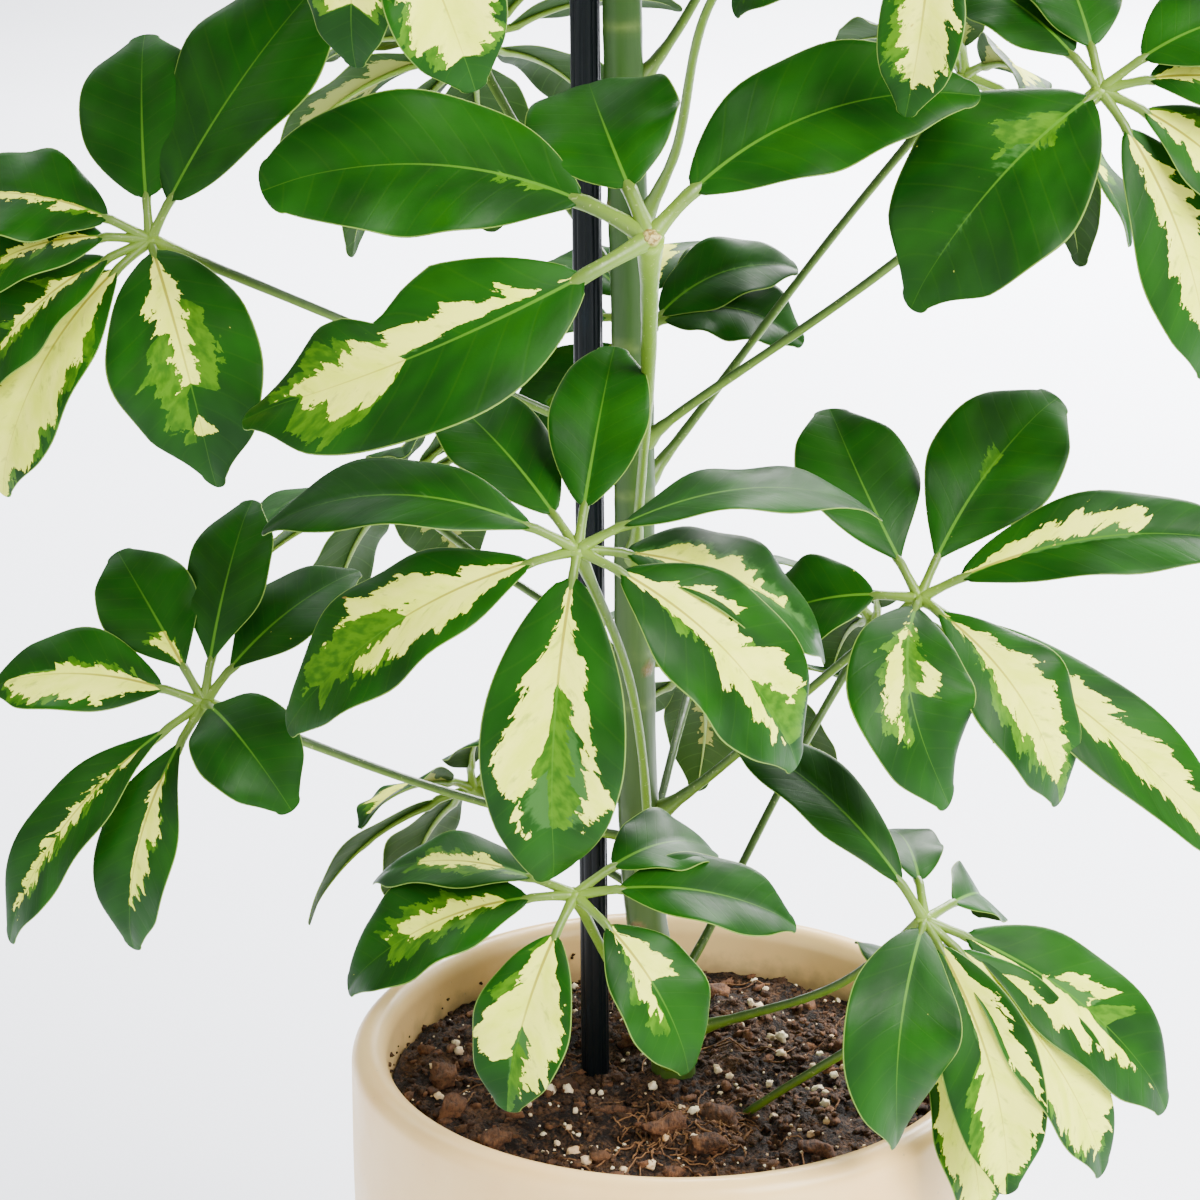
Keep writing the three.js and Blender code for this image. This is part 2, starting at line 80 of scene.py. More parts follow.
def draw_from(seed: int) -> Draw:
    """A repeatable run of numbers from 0 to 1.

    Args:
        seed: picks the run.

    Returns:
        A function that gives the next number of the run.
    """
    spread, factor, modulus = 7919, 48271, 2 ** 31 - 1
    state = seed * spread

    def draw() -> float:
        """The next number."""
        nonlocal state
        state = state * factor % modulus
        return state / modulus
    return draw


def unit(vector: np.ndarray) -> np.ndarray:
    """The same direction, one long; works on rows of vectors too."""
    return vector / np.maximum(np.linalg.norm(vector, axis=-1, keepdims=True), 1e-12)


def turned(vector: np.ndarray, axis: np.ndarray, degrees: float) -> np.ndarray:
    """A vector, or rows of them, turned about an axis.

    Args:
        vector: what is turned.
        axis: unit axis, or one for each row.
        degrees: how far.

    Returns:
        The turned vectors.
    """
    angle = math.radians(degrees)
    along = np.sum(vector * axis, axis=-1, keepdims=True) * axis
    return along + (vector - along) * math.cos(angle) + np.cross(axis, vector) * math.sin(angle)


def smooth_step(value: np.ndarray | float, low: float, high: float) -> np.ndarray:
    """0 below low, 1 above high and an even S between them."""
    share = np.clip((np.asarray(value, float) - low) / (high - low), 0, 1)
    return share * share * (3 - 2 * share)


def bell(value: np.ndarray, width: float) -> np.ndarray:
    """A rounded peak, 1 where the value is 0 and falling off on both sides."""
    return np.exp(-(value / width) ** 2)


def headings(count: int) -> np.ndarray:
    """Headings spaced evenly round a circle, in radians."""
    return np.arange(count) * 2 * math.pi / count


def spline_through(points: Sequence[Sequence[float]], shares: np.ndarray) -> np.ndarray:
    """Points of the centripetal Catmull-Rom curve through a few points.

    Args:
        points: what the curve passes through, in order.
        shares: where on the curve, from 0 to 1; every span between two points takes the same share.

    Returns:
        One row for each share.
    """
    knots = np.array(points, float)
    spans = len(knots) - 1
    padded = np.vstack([2 * knots[0] - knots[1], knots, 2 * knots[-1] - knots[-2]])
    rows = []
    for share in shares:
        span = min(int(share * spans), spans - 1)
        t = share * spans - span
        p0, p1, p2, p3 = padded[span:span + 4]
        d0, d1, d2 = (max(np.linalg.norm(b - a), 1e-6) ** 0.5 for a, b in ((p0, p1), (p1, p2), (p2, p3)))
        m1 = ((p1 - p0) / d0 - (p2 - p0) / (d0 + d1) + (p2 - p1) / d1) * d1
        m2 = ((p2 - p1) / d1 - (p3 - p1) / (d1 + d2) + (p3 - p2) / d2) * d1
        rows.append(p1 + m1 * t + (-3 * p1 + 3 * p2 - 2 * m1 - m2) * t ** 2
                    + (2 * p1 - 2 * p2 + m1 + m2) * t ** 3)
    return np.array(rows)


# ---------------------------------------------------------------- meshes

class Draft:
    """Corners, faces and per-corner values of one piece, gathered part by part, in millimetres."""

    def __init__(self, *values: str) -> None:
        """Starts an empty draft.

        Args:
            values: names of the vector values that its corners carry.
        """
        self.points: list[np.ndarray] = []
        self.faces: Faces = []
        self.finishes: list[int] = []
        self.values: dict[str, list[np.ndarray]] = {name: [] for name in values}
        self.count = 0

    def _corners(self, points: np.ndarray, values: dict[str, np.ndarray]) -> int:
        """Adds corners.

        Args:
            points: where they are.
            values: their vector values by name; a value that isn't given is zero.

        Returns:
            The number of the first one.
        """
        first = self.count
        self.points.append(points)
        for name, rows in self.values.items():
            given = values.get(name, (0.0, 0.0, 0.0))
            rows.append(np.broadcast_to(np.asarray(given, float), points.shape).copy())
        self.count += len(points)
        return first

    def skin(self, rings: np.ndarray, finish: int = 0, tip: np.ndarray | None = None,
             **values: np.ndarray) -> None:
        """Adds a skin over rings of points that run anticlockwise seen from ahead; its start is capped.

        Args:
            rings: array of rings by points by 3.
            finish: number of the material.
            tip: a last point that the skin closes on; without it the last ring is capped.
            values: the vector values of the ring points, as arrays that fit the rings.
        """
        rows, count = rings.shape[:2]
        flat = {name: np.broadcast_to(v, rings.shape).reshape(-1, 3) for name, v in values.items()}
        first = self._corners(rings.reshape(-1, 3), flat)
        for i in range(rows - 1):
            for k in range(count):
                a, b = first + i * count + k, first + i * count + (k + 1) % count
                self.faces.append((a, b, b + count, a + count))
        self.faces.append(tuple(first + k for k in reversed(range(count))))
        last = first + (rows - 1) * count
        if tip is None:
            self.faces.append(tuple(last + k for k in range(count)))
        else:
            end = {name: v.reshape(rows, count, 3)[-1].mean(axis=0)[None] for name, v in flat.items()}
            apex = self._corners(np.asarray(tip, float)[None], end)
            self.faces.extend((last + k, last + (k + 1) % count, apex) for k in range(count))
        self.finishes.extend([finish] * (len(self.faces) - len(self.finishes)))

    def solid(self, points: np.ndarray, faces: Faces, finish: int = 0, **values: np.ndarray) -> None:
        """Adds a ready closed shape.

        Args:
            points: its corners.
            faces: its faces, by the numbers of their corners.
            finish: number of the material.
            values: the vector values of the corners.
        """
        first = self._corners(np.asarray(points, float), values)
        self.faces.extend(tuple(first + k for k in face) for face in faces)
        self.finishes.extend([finish] * len(faces))

    def build(self, name: str, materials: Sequence[bpy.types.Material]) -> bpy.types.Object:
        """Makes the object of this draft.

        Args:
            name: its name.
            materials: its finishes, in the order of their numbers.

        Returns:
            The object, in metres, in the scene.
        """
        mesh = bpy.data.meshes.new(name)
        mesh.from_pydata((np.vstack(self.points) * MM).tolist(), [], self.faces)
        for material in materials:
            mesh.materials.append(material)
        mesh.polygons.foreach_set("material_index", np.array(self.finishes, np.int32))
        mesh.polygons.foreach_set("use_smooth", np.ones(len(self.faces), bool))
        for value, rows in self.values.items():
            attribute = mesh.attributes.new(value, "FLOAT_VECTOR", "POINT")
            attribute.data.foreach_set("vector", np.vstack(rows).astype(np.float32).ravel())
        mesh.update()
        obj = bpy.data.objects.new(name, mesh)
        bpy.context.scene.collection.objects.link(obj)
        return obj


def tube_rings(path: np.ndarray, radii: np.ndarray, sides: int) -> np.ndarray:
    """Rings of a round tube along a path, without twist.

    Args:
        path: its centre line, one row a station.
        radii: radius at each station, or one row of radii for each station.
        sides: points a ring.

    Returns:
        Array of stations by sides by 3.
    """
    tangents = unit(np.gradient(path, axis=0))
    side = np.cross(tangents[0], (0.3, 0.2, 0.9))
    if np.linalg.norm(side) < 0.2:
        side = np.cross(tangents[0], (0.9, 0.2, 0.3))
    angles = headings(sides)
    radii = np.broadcast_to(np.asarray(radii, float).reshape(len(path), -1), (len(path), sides))
    rings = np.zeros((len(path), sides, 3))
    for i, along in enumerate(tangents):
        side = unit(side - along * side.dot(along))
        up = np.cross(along, side)
        spokes = np.cos(angles)[:, None] * side + np.sin(angles)[:, None] * up
        rings[i] = path[i] + spokes * radii[i][:, None]
    return rings


def ball(rows: int, sides: int) -> tuple[np.ndarray, Faces]:
    """A round shape to be dented.

    Args:
        rows: rows of faces from its lowest point to its highest.
        sides: faces round it.

    Returns:
        Its corners, on a ball with a radius of 1, and its faces.
    """
    lifts = [math.pi * i / rows for i in range(1, rows)]
    turns = [2 * math.pi * k / sides for k in range(sides)]
    points = [(0.0, 0.0, -1.0)]
    points += [(math.sin(lift) * math.cos(turn), math.sin(lift) * math.sin(turn), -math.cos(lift))
               for lift in lifts for turn in turns]
    points.append((0.0, 0.0, 1.0))
    last, top = len(points) - 1, 1 + (rows - 2) * sides
    pairs = [(k, (k + 1) % sides) for k in range(sides)]
    faces: Faces = [(0, 1 + after, 1 + k) for k, after in pairs]
    for start in range(1, top, sides):
        faces += [(start + k, start + after, start + sides + after, start + sides + k)
                  for k, after in pairs]
    faces += [(top + k, top + after, last) for k, after in pairs]
    return np.array(points), faces


def place(obj: bpy.types.Object, slot: str, *nodes: str) -> bpy.types.Object:
    """Hangs a piece on the plant's body.

    Args:
        obj: the piece.
        slot: not used.
        nodes: the nodes that it stands for.

    Returns:
        The piece.
    """
    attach(obj, BODY)
    if nodes:
        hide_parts(*nodes)
    LOG.info("%s: %d faces", obj.name, len(obj.data.polygons))
    return obj


# ---------------------------------------------------------------- materials

@dataclass(frozen=True)
class Signal:
    """A value in a material's wiring; sums written with it add the nodes that work them out."""

    board: "Board"
    socket: bpy.types.NodeSocket

    def __add__(self, other: object) -> "Signal":
        """The sum of the two."""
        return self.board.math("ADD", self, other)

    def __sub__(self, other: object) -> "Signal":
        """This less the other."""
        return self.board.math("SUBTRACT", self, other)

    def __mul__(self, other: object) -> "Signal":
        """The product of the two."""
        return self.board.math("MULTIPLY", self, other)

    def __truediv__(self, other: object) -> "Signal":
        """This over the other."""
        return self.board.math("DIVIDE", self, other)

    def __abs__(self) -> "Signal":
        """The value without its sign."""
        return self.board.math("ABSOLUTE", self)


class Board:
    """Wires one material's nodes; inputs may be plain values or signals."""

    def __init__(self, name: str) -> None:
        """Starts an empty material.

        Args:
            name: its name.
        """
        self.material = bpy.data.materials.new(name)
        self.material.use_nodes = True
        self.tree = self.material.node_tree
        self.tree.nodes.clear()

    def node(self, kind: str, inputs: dict, **settings: object) -> bpy.types.Node:
        """Adds a node.

        Args:
            kind: its type after "ShaderNode".
            inputs: value or signal for each input, by name or number.
            settings: properties of the node.

        Returns:
            The node.
        """
        made = self.tree.nodes.new("ShaderNode" + kind)
        for key, value in settings.items():
            setattr(made, key, value)
        for key, value in inputs.items():
            socket = made.inputs[key]
            if isinstance(value, Signal):
                self.tree.links.new(value.socket, socket)
            else:
                socket.default_value = (*value, 1.0) if socket.type == "RGBA" else value
        return made

    def signal(self, kind: str, inputs: dict, output: int | str = 0, **settings: object) -> Signal:
        """Adds a node and gives one of its outputs."""
        return Signal(self, self.node(kind, inputs, **settings).outputs[output])

    def math(self, operation: str, *values: object) -> Signal:
        """The result of a sum or another plain operation."""
        return self.signal("Math", dict(enumerate(values)), operation=operation)

    def mix(self, share: object, first: object, second: object) -> Signal:
        """A blend of two colours."""
        return self.signal("Mix", {0: share, 6: first, 7: second}, 2, data_type="RGBA")

    def split(self, vector: Signal) -> tuple[Signal, ...]:
        """The three parts of a vector."""
        return tuple(Signal(self, part) for part in self.node("SeparateXYZ", {0: vector}).outputs)

    def join(self, x: object, y: object, z: object) -> Signal:
        """A vector from three parts."""
        return self.signal("CombineXYZ", {0: x, 1: y, 2: z})

    def value(self, name: str) -> tuple[Signal, ...]:
        """The three parts of a value that the corners carry."""
        return self.split(self.signal("Attribute", {}, "Vector", attribute_name=name,
                                      attribute_type="GEOMETRY"))

    def here(self) -> Signal:
        """The point in the plant's own frame, in metres."""
        return self.signal("TexCoord", {}, "Object")

    def stretched(self, vector: Signal, *scale: float) -> Signal:
        """A place with its parts scaled, so that a pattern is drawn out where the scale is below 1."""
        return self.signal("Mapping", {"Vector": vector, "Scale": scale})

    def grain(self, vector: Signal, scale: float, detail: float = 3, rough: float = 0.55) -> Signal:
        """Cloudy noise, about 0.5 on average."""
        return self.signal("TexNoise", {"Vector": vector, "Scale": scale, "Detail": detail,
                                        "Roughness": rough})

    def cells(self, vector: Signal, scale: float) -> tuple[Signal, ...]:
        """A cell pattern: the distance from a cell's middle, then three random numbers of the cell."""
        made = self.node("TexVoronoi", {"Vector": vector, "Scale": scale})
        return Signal(self, made.outputs["Distance"]), *self.split(Signal(self, made.outputs["Color"]))

    def dots(self, vector: Signal, scale: float, size: tuple[float, float], number: int,
             rare: tuple[float, float]) -> Signal:
        """Round dots in the middle of some cells.

        Args:
            vector: the place.
            scale: the cell pattern's scale.
            size: where a dot begins to fade and where it ends.
            number: which random number of the cell decides whether it has a dot.
            rare: that number, where dots begin and where they have their full strength.

        Returns:
            1 in the dots and 0 elsewhere.
        """
        cell = self.cells(vector, scale)
        return self.ramp(cell[0], *size, 1.0, 0.0) * self.ramp(cell[number], *rare)

    def ramp(self, value: object, low: float, high: float, to_low: float = 0.0, to_high: float = 1.0
             ) -> Signal:
        """A value stretched smoothly from one range to another, and held inside it."""
        return self.signal("MapRange", {0: value, 1: low, 2: high, 3: to_low, 4: to_high},
                           interpolation_type="SMOOTHSTEP")

    def finish(self, colour: Signal, rough: Signal, relief: Signal, depth: float, **constants: float
               ) -> bpy.types.Material:
        """Ends the material with its shader.

        Args:
            colour: base colour.
            rough: how matt it is.
            relief: height of the surface, from 0 to 1.
            depth: depth of that relief in millimetres.
            constants: other sockets of the shader, with underscores for spaces.

        Returns:
            The material.
        """
        normal = self.signal("Bump", {"Height": relief, "Distance": depth * MM, "Strength": 1.0})
        inputs = {"Base Color": colour, "Roughness": rough, "Normal": normal}
        inputs.update({key.replace("_", " "): value for key, value in constants.items()})
        self.node("OutputMaterial", {"Surface": self.signal("BsdfPrincipled", inputs)})
        return self.material


@dataclass(frozen=True)
class BladeFinish:
    """A glossy leaf blade: green, with cream and lime marks that keep to the veins."""

    name: str = "Variegated blade"
    deep: Colour = srgb(9, 50, 2)
    green: Colour = srgb(21, 75, 2)
    lime: Colour = srgb(70, 118, 3)
    # haze: a grey green, partly the marks' own border and partly a painted sheen
    haze: Colour = srgb(62, 106, 46)
    cream: Colour = srgb(248, 252, 100)
    butter: Colour = srgb(230, 242, 62)
    rib: Colour = srgb(74, 124, 24)
    cream_rib: Colour = srgb(150, 144, 40)
    # rim: pale green painted along the blade's edges, a painted glow of light shining through the thin
    # margin
    rim: Colour = srgb(140, 172, 74)
    under: Colour = srgb(34, 66, 14)
    under_rib: Colour = srgb(46, 80, 22)
    under_cream: Colour = srgb(150, 158, 76)
    scab: Colour = srgb(150, 116, 56)
    wander_mm: float = 7.0
    teeth_mm: float = 0.9
    islets_mm: float = 2.2
    side_veins: float = 11.0
    vein_stagger: float = 0.22
    gloss: float = 0.45
    sheen: float = 0.12
    relief_mm: float = 0.14

    def _marks(self, b: Board, run: Signal, place_on: Signal, streaked: Signal, shifted: Signal
               ) -> tuple[Signal, Signal, Signal]:
        """Where the blade is cream, lime or hazy; the haze is partly a painted sheen.

        Args:
            b: the material's board.
            run: share of the blade's length.
            place_on: place on the blade.
            streaked: the same, drawn out along the side veins.
            shifted: another such place, for borders that go their own way.

        Returns:
            The strength of each, from 0 to 1.
        """
        cream_edge, lime_edge, haze_edge = b.value("marks_mm")
        wander = (b.grain(streaked, 0.3, 5, 0.66) - 0.5) * self.wander_mm
        other = (b.grain(shifted, 0.36, 3, 0.6) - 0.5) * self.wander_mm
        teeth = ((b.cells(place_on, 0.8)[1] - 0.5) * self.teeth_mm
                 + (b.cells(streaked, 0.34)[2] - 0.5) * self.islets_mm)
        calm = b.math("MINIMUM", b.ramp(run, 0.0, 0.18, 0.2, 1.0), b.ramp(run, 0.85, 1.0, 1.0, 0.35))
        return (b.ramp(cream_edge + (wander + teeth) * calm, -0.05, 0.07),
                b.ramp(lime_edge + (other + teeth) * calm, -0.05, 0.07),
                # the haze strength: grey-green border of the marks, partly a painted sheen
                b.ramp(haze_edge + other * 1.3, -1.0, 1.6, 0.0, 0.75))

    def material(self) -> bpy.types.Material:
        """Builds the material from the values on the blade's corners.

        Returns:
            The material.
        """
        b = Board(self.name)
        along, across, seed = b.value("vein_mm")
        run, width, side = b.value("blade_share")
        place_on = b.join(along, across, seed)
        streaked = b.join(along, across * 0.7, seed)
        shifted = b.join(along + 37.0, across * 0.6, seed)
        cream, lime, haze = self._marks(b, run, place_on, streaked, shifted)

        stagger = b.math("SIGN", width) * self.vein_stagger
        off_vein = abs(b.math("FRACT", run * self.side_veins + stagger) - 0.5)
        vein = b.ramp(off_vein, 0.0, 0.07, 1.0, 0.0)
        green = b.mix(b.ramp(b.grain(place_on, 0.05, 2), 0.25, 0.75), self.deep, self.green)
        # haze laid over the green: the marks' grey-green border, partly a painted sheen
        green = b.mix(haze, b.mix(vein * 0.05, green, self.lime), self.haze)
        patchy = b.ramp(b.grain(place_on, 0.3, 2), 0.32, 0.64, 0.3, 1.0)
        green = b.mix(lime, green, b.mix(patchy, self.green, self.lime))
        pale = b.mix(b.ramp(b.grain(place_on, 0.11, 4), 0.36, 0.68), self.cream, self.butter)
        pale = b.mix(b.ramp(b.grain(streaked, 0.33, 4), 0.56, 0.75, 0.0, 0.4), pale, self.haze)
        top = b.mix(cream, green, pale)

        midrib = b.ramp(abs(across) / b.ramp(run, 0.0, 0.95, 0.52, 0.12), 0.55, 1.1, 1.0, 0.0)
        midrib *= b.ramp(run, 0.1, 0.9, 0.9, 0.3)
        top = b.mix(midrib, top, b.mix(cream, self.rib, self.cream_rib))
        top = b.mix(b.dots(place_on, 0.13, (0.016, 0.03), 2, (0.72, 0.76)) * 0.6, top, self.cream)
        top = b.mix(b.dots(place_on, 0.06, (0.022, 0.04), 3, (0.9, 0.91)) * 0.75, top, self.scab)

        beneath = b.mix(cream * 0.8, b.mix(vein, self.under, self.under_rib), self.under_cream)
        colour = b.mix(b.ramp(side, -0.7, -0.3, 1.0, 0.0), top, beneath)
        # painted edge glow: the pale rim stands for light shining through the blade's thin margin
        rim = b.math("MAXIMUM", b.ramp(abs(side), 0.35, 0.95, 1.0, 0.0), b.ramp(abs(width), 0.982, 0.998))
        colour = b.mix(rim * 0.6, colour, self.rim)

        relief = b.grain(place_on, 0.16, 2) + b.grain(place_on, 2.4, 2) * 0.06 - vein * 0.1
        rough = (b.ramp(b.grain(place_on, 0.12), 0.3, 0.7, self.gloss - 0.04, self.gloss + 0.08)
                 + b.math("MAXIMUM", cream, haze) * 0.1 + b.ramp(side, -0.7, -0.3, 0.22, 0.0))
        return b.finish(colour, rough, relief, self.relief_mm, Specular_IOR_Level=self.sheen)


@dataclass(frozen=True)
class StalkFinish:
    """A green leaf stalk: darker on its upper side, paler towards the joints, a little streaked."""

    name: str = "Green stalk"
    upper: Colour = srgb(50, 78, 22)
    lower: Colour = srgb(102, 136, 36)
    joint: Colour = srgb(126, 158, 44)
    fleck: Colour = srgb(172, 182, 110)
    scar: Colour = srgb(134, 108, 44)
    scar_crust: Colour = srgb(210, 192, 112)
    relief_mm: float = 0.18

    def material(self) -> bpy.types.Material:
        """Builds the material; the stalk's corners carry how far up they face, paleness and scar.

        Returns:
            The material.
        """
        b = Board(self.name)
        upward, paleness, scar = b.value("stalk")
        here = b.here()
        streak = b.grain(b.stretched(here, 1, 1, 0.25), 420, 3)
        colour = b.mix(b.ramp(upward + streak * 0.5, -0.2, 0.9), self.lower, self.upper)
        colour = b.mix(paleness, colour, self.joint)
        colour = b.mix(b.ramp(b.grain(here, 900, 2), 0.66, 0.72, 0.0, 0.5), colour, self.fleck)
        crust = b.mix(b.ramp(b.grain(here, 900), 0.42, 0.58), self.scar, self.scar_crust)
        relief = streak + b.grain(here, 1500) * scar * 2.5
        return b.finish(b.mix(scar, colour, crust), b.ramp(streak, 0.3, 0.7, 0.36, 0.5), relief,
                        self.relief_mm, Specular_IOR_Level=0.45)


@dataclass(frozen=True)
class TrunkFinish:
    """The green trunk: length-wise streaks, pale rings at the joints and a few corky flecks."""

    name: str = "Green trunk"
    young: Colour = srgb(48, 84, 22)
    old: Colour = srgb(62, 88, 28)
    streak: Colour = srgb(34, 64, 14)
    ring: Colour = srgb(104, 128, 56)
    cork: Colour = srgb(108, 92, 48)
    relief_mm: float = 0.35

    def material(self) -> bpy.types.Material:
        """Builds the material; the trunk's corners carry height share, ring strength and scar.

        Returns:
            The material.
        """
        b = Board(self.name)
        height, ring, scar = b.value("trunk")
        here = b.here()
        lines = b.grain(b.stretched(here, 1, 1, 0.12), 330, 4)
        colour = b.mix(b.ramp(height, 0.1, 0.6), self.old, self.young)
        colour = b.mix(b.ramp(lines, 0.45, 0.75, 0.0, 0.35), colour, self.streak)
        patchy = b.ramp(b.grain(here, 130, 3), 0.35, 0.65, 0.1, 0.8)
        colour = b.mix(ring * patchy, colour, self.ring)
        fleck = b.dots(b.stretched(here, 1, 1, 0.6), 190, (0.1, 0.2), 1, (0.86, 0.9))
        colour = b.mix(b.math("MAXIMUM", fleck * 0.5, scar), colour, self.cork)
        relief = lines * 0.35 + fleck * 0.5 + scar * b.grain(here, 900) * 1.5
        return b.finish(colour, b.ramp(lines, 0.3, 0.7, 0.38, 0.55), relief, self.relief_mm,
                        Specular_IOR_Level=0.4)


@dataclass(frozen=True)
class StakeFinish:
    """Moulded near-black plastic with fine length-wise lines and light scuffs."""

    name: str = "Dark stake plastic"
    dark: Colour = srgb(5, 12, 16)
    worn: Colour = srgb(20, 32, 40)
    relief_mm: float = 0.2

    def material(self) -> bpy.types.Material:
        """Builds the material from the point's place on the stake.

        Returns:
            The material.
        """
        b = Board(self.name)
        here = b.here()
        lines = b.grain(b.stretched(here, 1, 1, 0.02), 1300, 2)
        scuff = b.ramp(b.grain(b.stretched(here, 1, 1, 0.3), 130, 5), 0.58, 0.74)
        return b.finish(b.mix(scuff * 0.6, self.dark, self.worn), b.ramp(scuff, 0, 1, 0.45, 0.62),
                        lines, self.relief_mm, Specular_IOR_Level=0.2)


@dataclass(frozen=True)
class GlazeFinish:
    """Satin cream glaze with soft clouds and pinpricks, stained by the soil, over a bare clay base."""

    name: str = "Cream glaze"
    cream: Colour = srgb(246, 208, 142)
    warm: Colour = srgb(236, 190, 120)
    speck: Colour = srgb(176, 154, 124)
    clay: Colour = srgb(214, 196, 168)
    soil_stain: Colour = srgb(122, 96, 72)
    stain_full_m: float = 0.164
    stain_ends_m: float = 0.174
    relief_mm: float = 0.5

    def material(self) -> bpy.types.Material:
        """Builds the material; the pot's corners carry glazed, inside and nothing.

        Returns:
            The material.
        """
        b = Board(self.name)
        glazed, inside, _ = b.value("pot")
        here = b.here()
        height = b.split(here)[2]
        colour = b.mix(b.ramp(b.grain(here, 14, 4), 0.35, 0.7), self.cream, self.warm)
        prick = b.dots(here, 260, (0.06, 0.12), 1, (0.86, 0.9))
        colour = b.mix(prick * 0.35, colour, self.speck)
        uneven = height + b.grain(here, 160, 4) * 0.012
        low = b.ramp(uneven, self.stain_full_m, self.stain_ends_m, 1.0, 0.0)
        stain = inside * low * 0.6
        colour = b.mix(glazed, self.clay, b.mix(stain, colour, self.soil_stain))
        relief = b.grain(here, 45, 2) + b.grain(here, 700, 2) * 0.05 - prick * 0.12
        rough = b.ramp(b.grain(here, 60, 3), 0.3, 0.7, 0.3, 0.4) + (stain * 0.4
                                                                    + b.ramp(glazed, 0, 1, 0.4, 0.0))
        return b.finish(colour, rough, relief, self.relief_mm, Specular_IOR_Level=0.4, Coat_Weight=0.06,
                        Coat_Roughness=0.2)


@dataclass(frozen=True)
class CrumbFinish:
    """A soil ingredient whose crumbs differ in tone: peat, chips, perlite or fibres."""

    name: str
    dark: Colour
    light: Colour
    other: Colour
    grain_mm: float
    relief_mm: float
    stretch: Triple = (1, 1, 1)
    matt: float = 0.9

    def material(self) -> bpy.types.Material:
        """Builds the material; corners carry a tone, a share of the other colour and nothing.

        Returns:
            The material.
        """
        b = Board(self.name)
        tone, other, _ = b.value("crumb")
        here = b.stretched(b.here(), *self.stretch)
        fineness = 1 / (self.grain_mm * MM)
        grit = b.grain(here, fineness, 5, 0.65)
        colour = b.mix(b.ramp((grit - 0.5) * 2.2 + tone, 0.1, 0.9), self.dark, self.light)
        patches = b.ramp(b.grain(here, 0.25 * fineness, 3), 0.56, 0.68)
        colour = b.mix((patches + other) * 0.5, colour, self.other)
        return b.finish(colour, b.ramp(grit, 0.3, 0.7, self.matt - 0.1, self.matt), grit, self.relief_mm,
                        Specular_IOR_Level=0.25)


PEAT = CrumbFinish("Peat", srgb(22, 13, 8), srgb(92, 64, 42), srgb(112, 76, 48), 1.0, 1.4)
HUSK = CrumbFinish("Coir husk", srgb(34, 20, 12), srgb(104, 68, 44), srgb(132, 90, 58), 1.1, 1.0,
                   stretch=(1, 0.25, 1))
PERLITE = CrumbFinish("Perlite", srgb(204, 174, 132), srgb(240, 224, 190), srgb(190, 140, 84), 0.9, 0.3)
FIBRE = CrumbFinish("Coir fibre", srgb(60, 38, 24), srgb(126, 88, 56), srgb(150, 112, 74), 1.0, 0.2)


@dataclass(frozen=True)
class FloorFinish:
    """The plain pale studio floor."""

    name: str = "Studio floor"
    pale: Colour = srgb(236, 238, 246)
    shade: Colour = srgb(230, 233, 243)
    relief_mm: float = 0.05

    def material(self) -> bpy.types.Material:
        """Builds the material.

        Returns:
            The material.
        """
        b = Board(self.name)
        here = b.here()
        clouds = b.grain(here, 1.6, 2)
        return b.finish(b.mix(clouds, self.shade, self.pale), b.ramp(clouds, 0.3, 0.7, 0.5, 0.6),
                        b.grain(here, 400, 2), self.relief_mm, Specular_IOR_Level=0.3)


# ---------------------------------------------------------------- pot, soil, stake and trunk

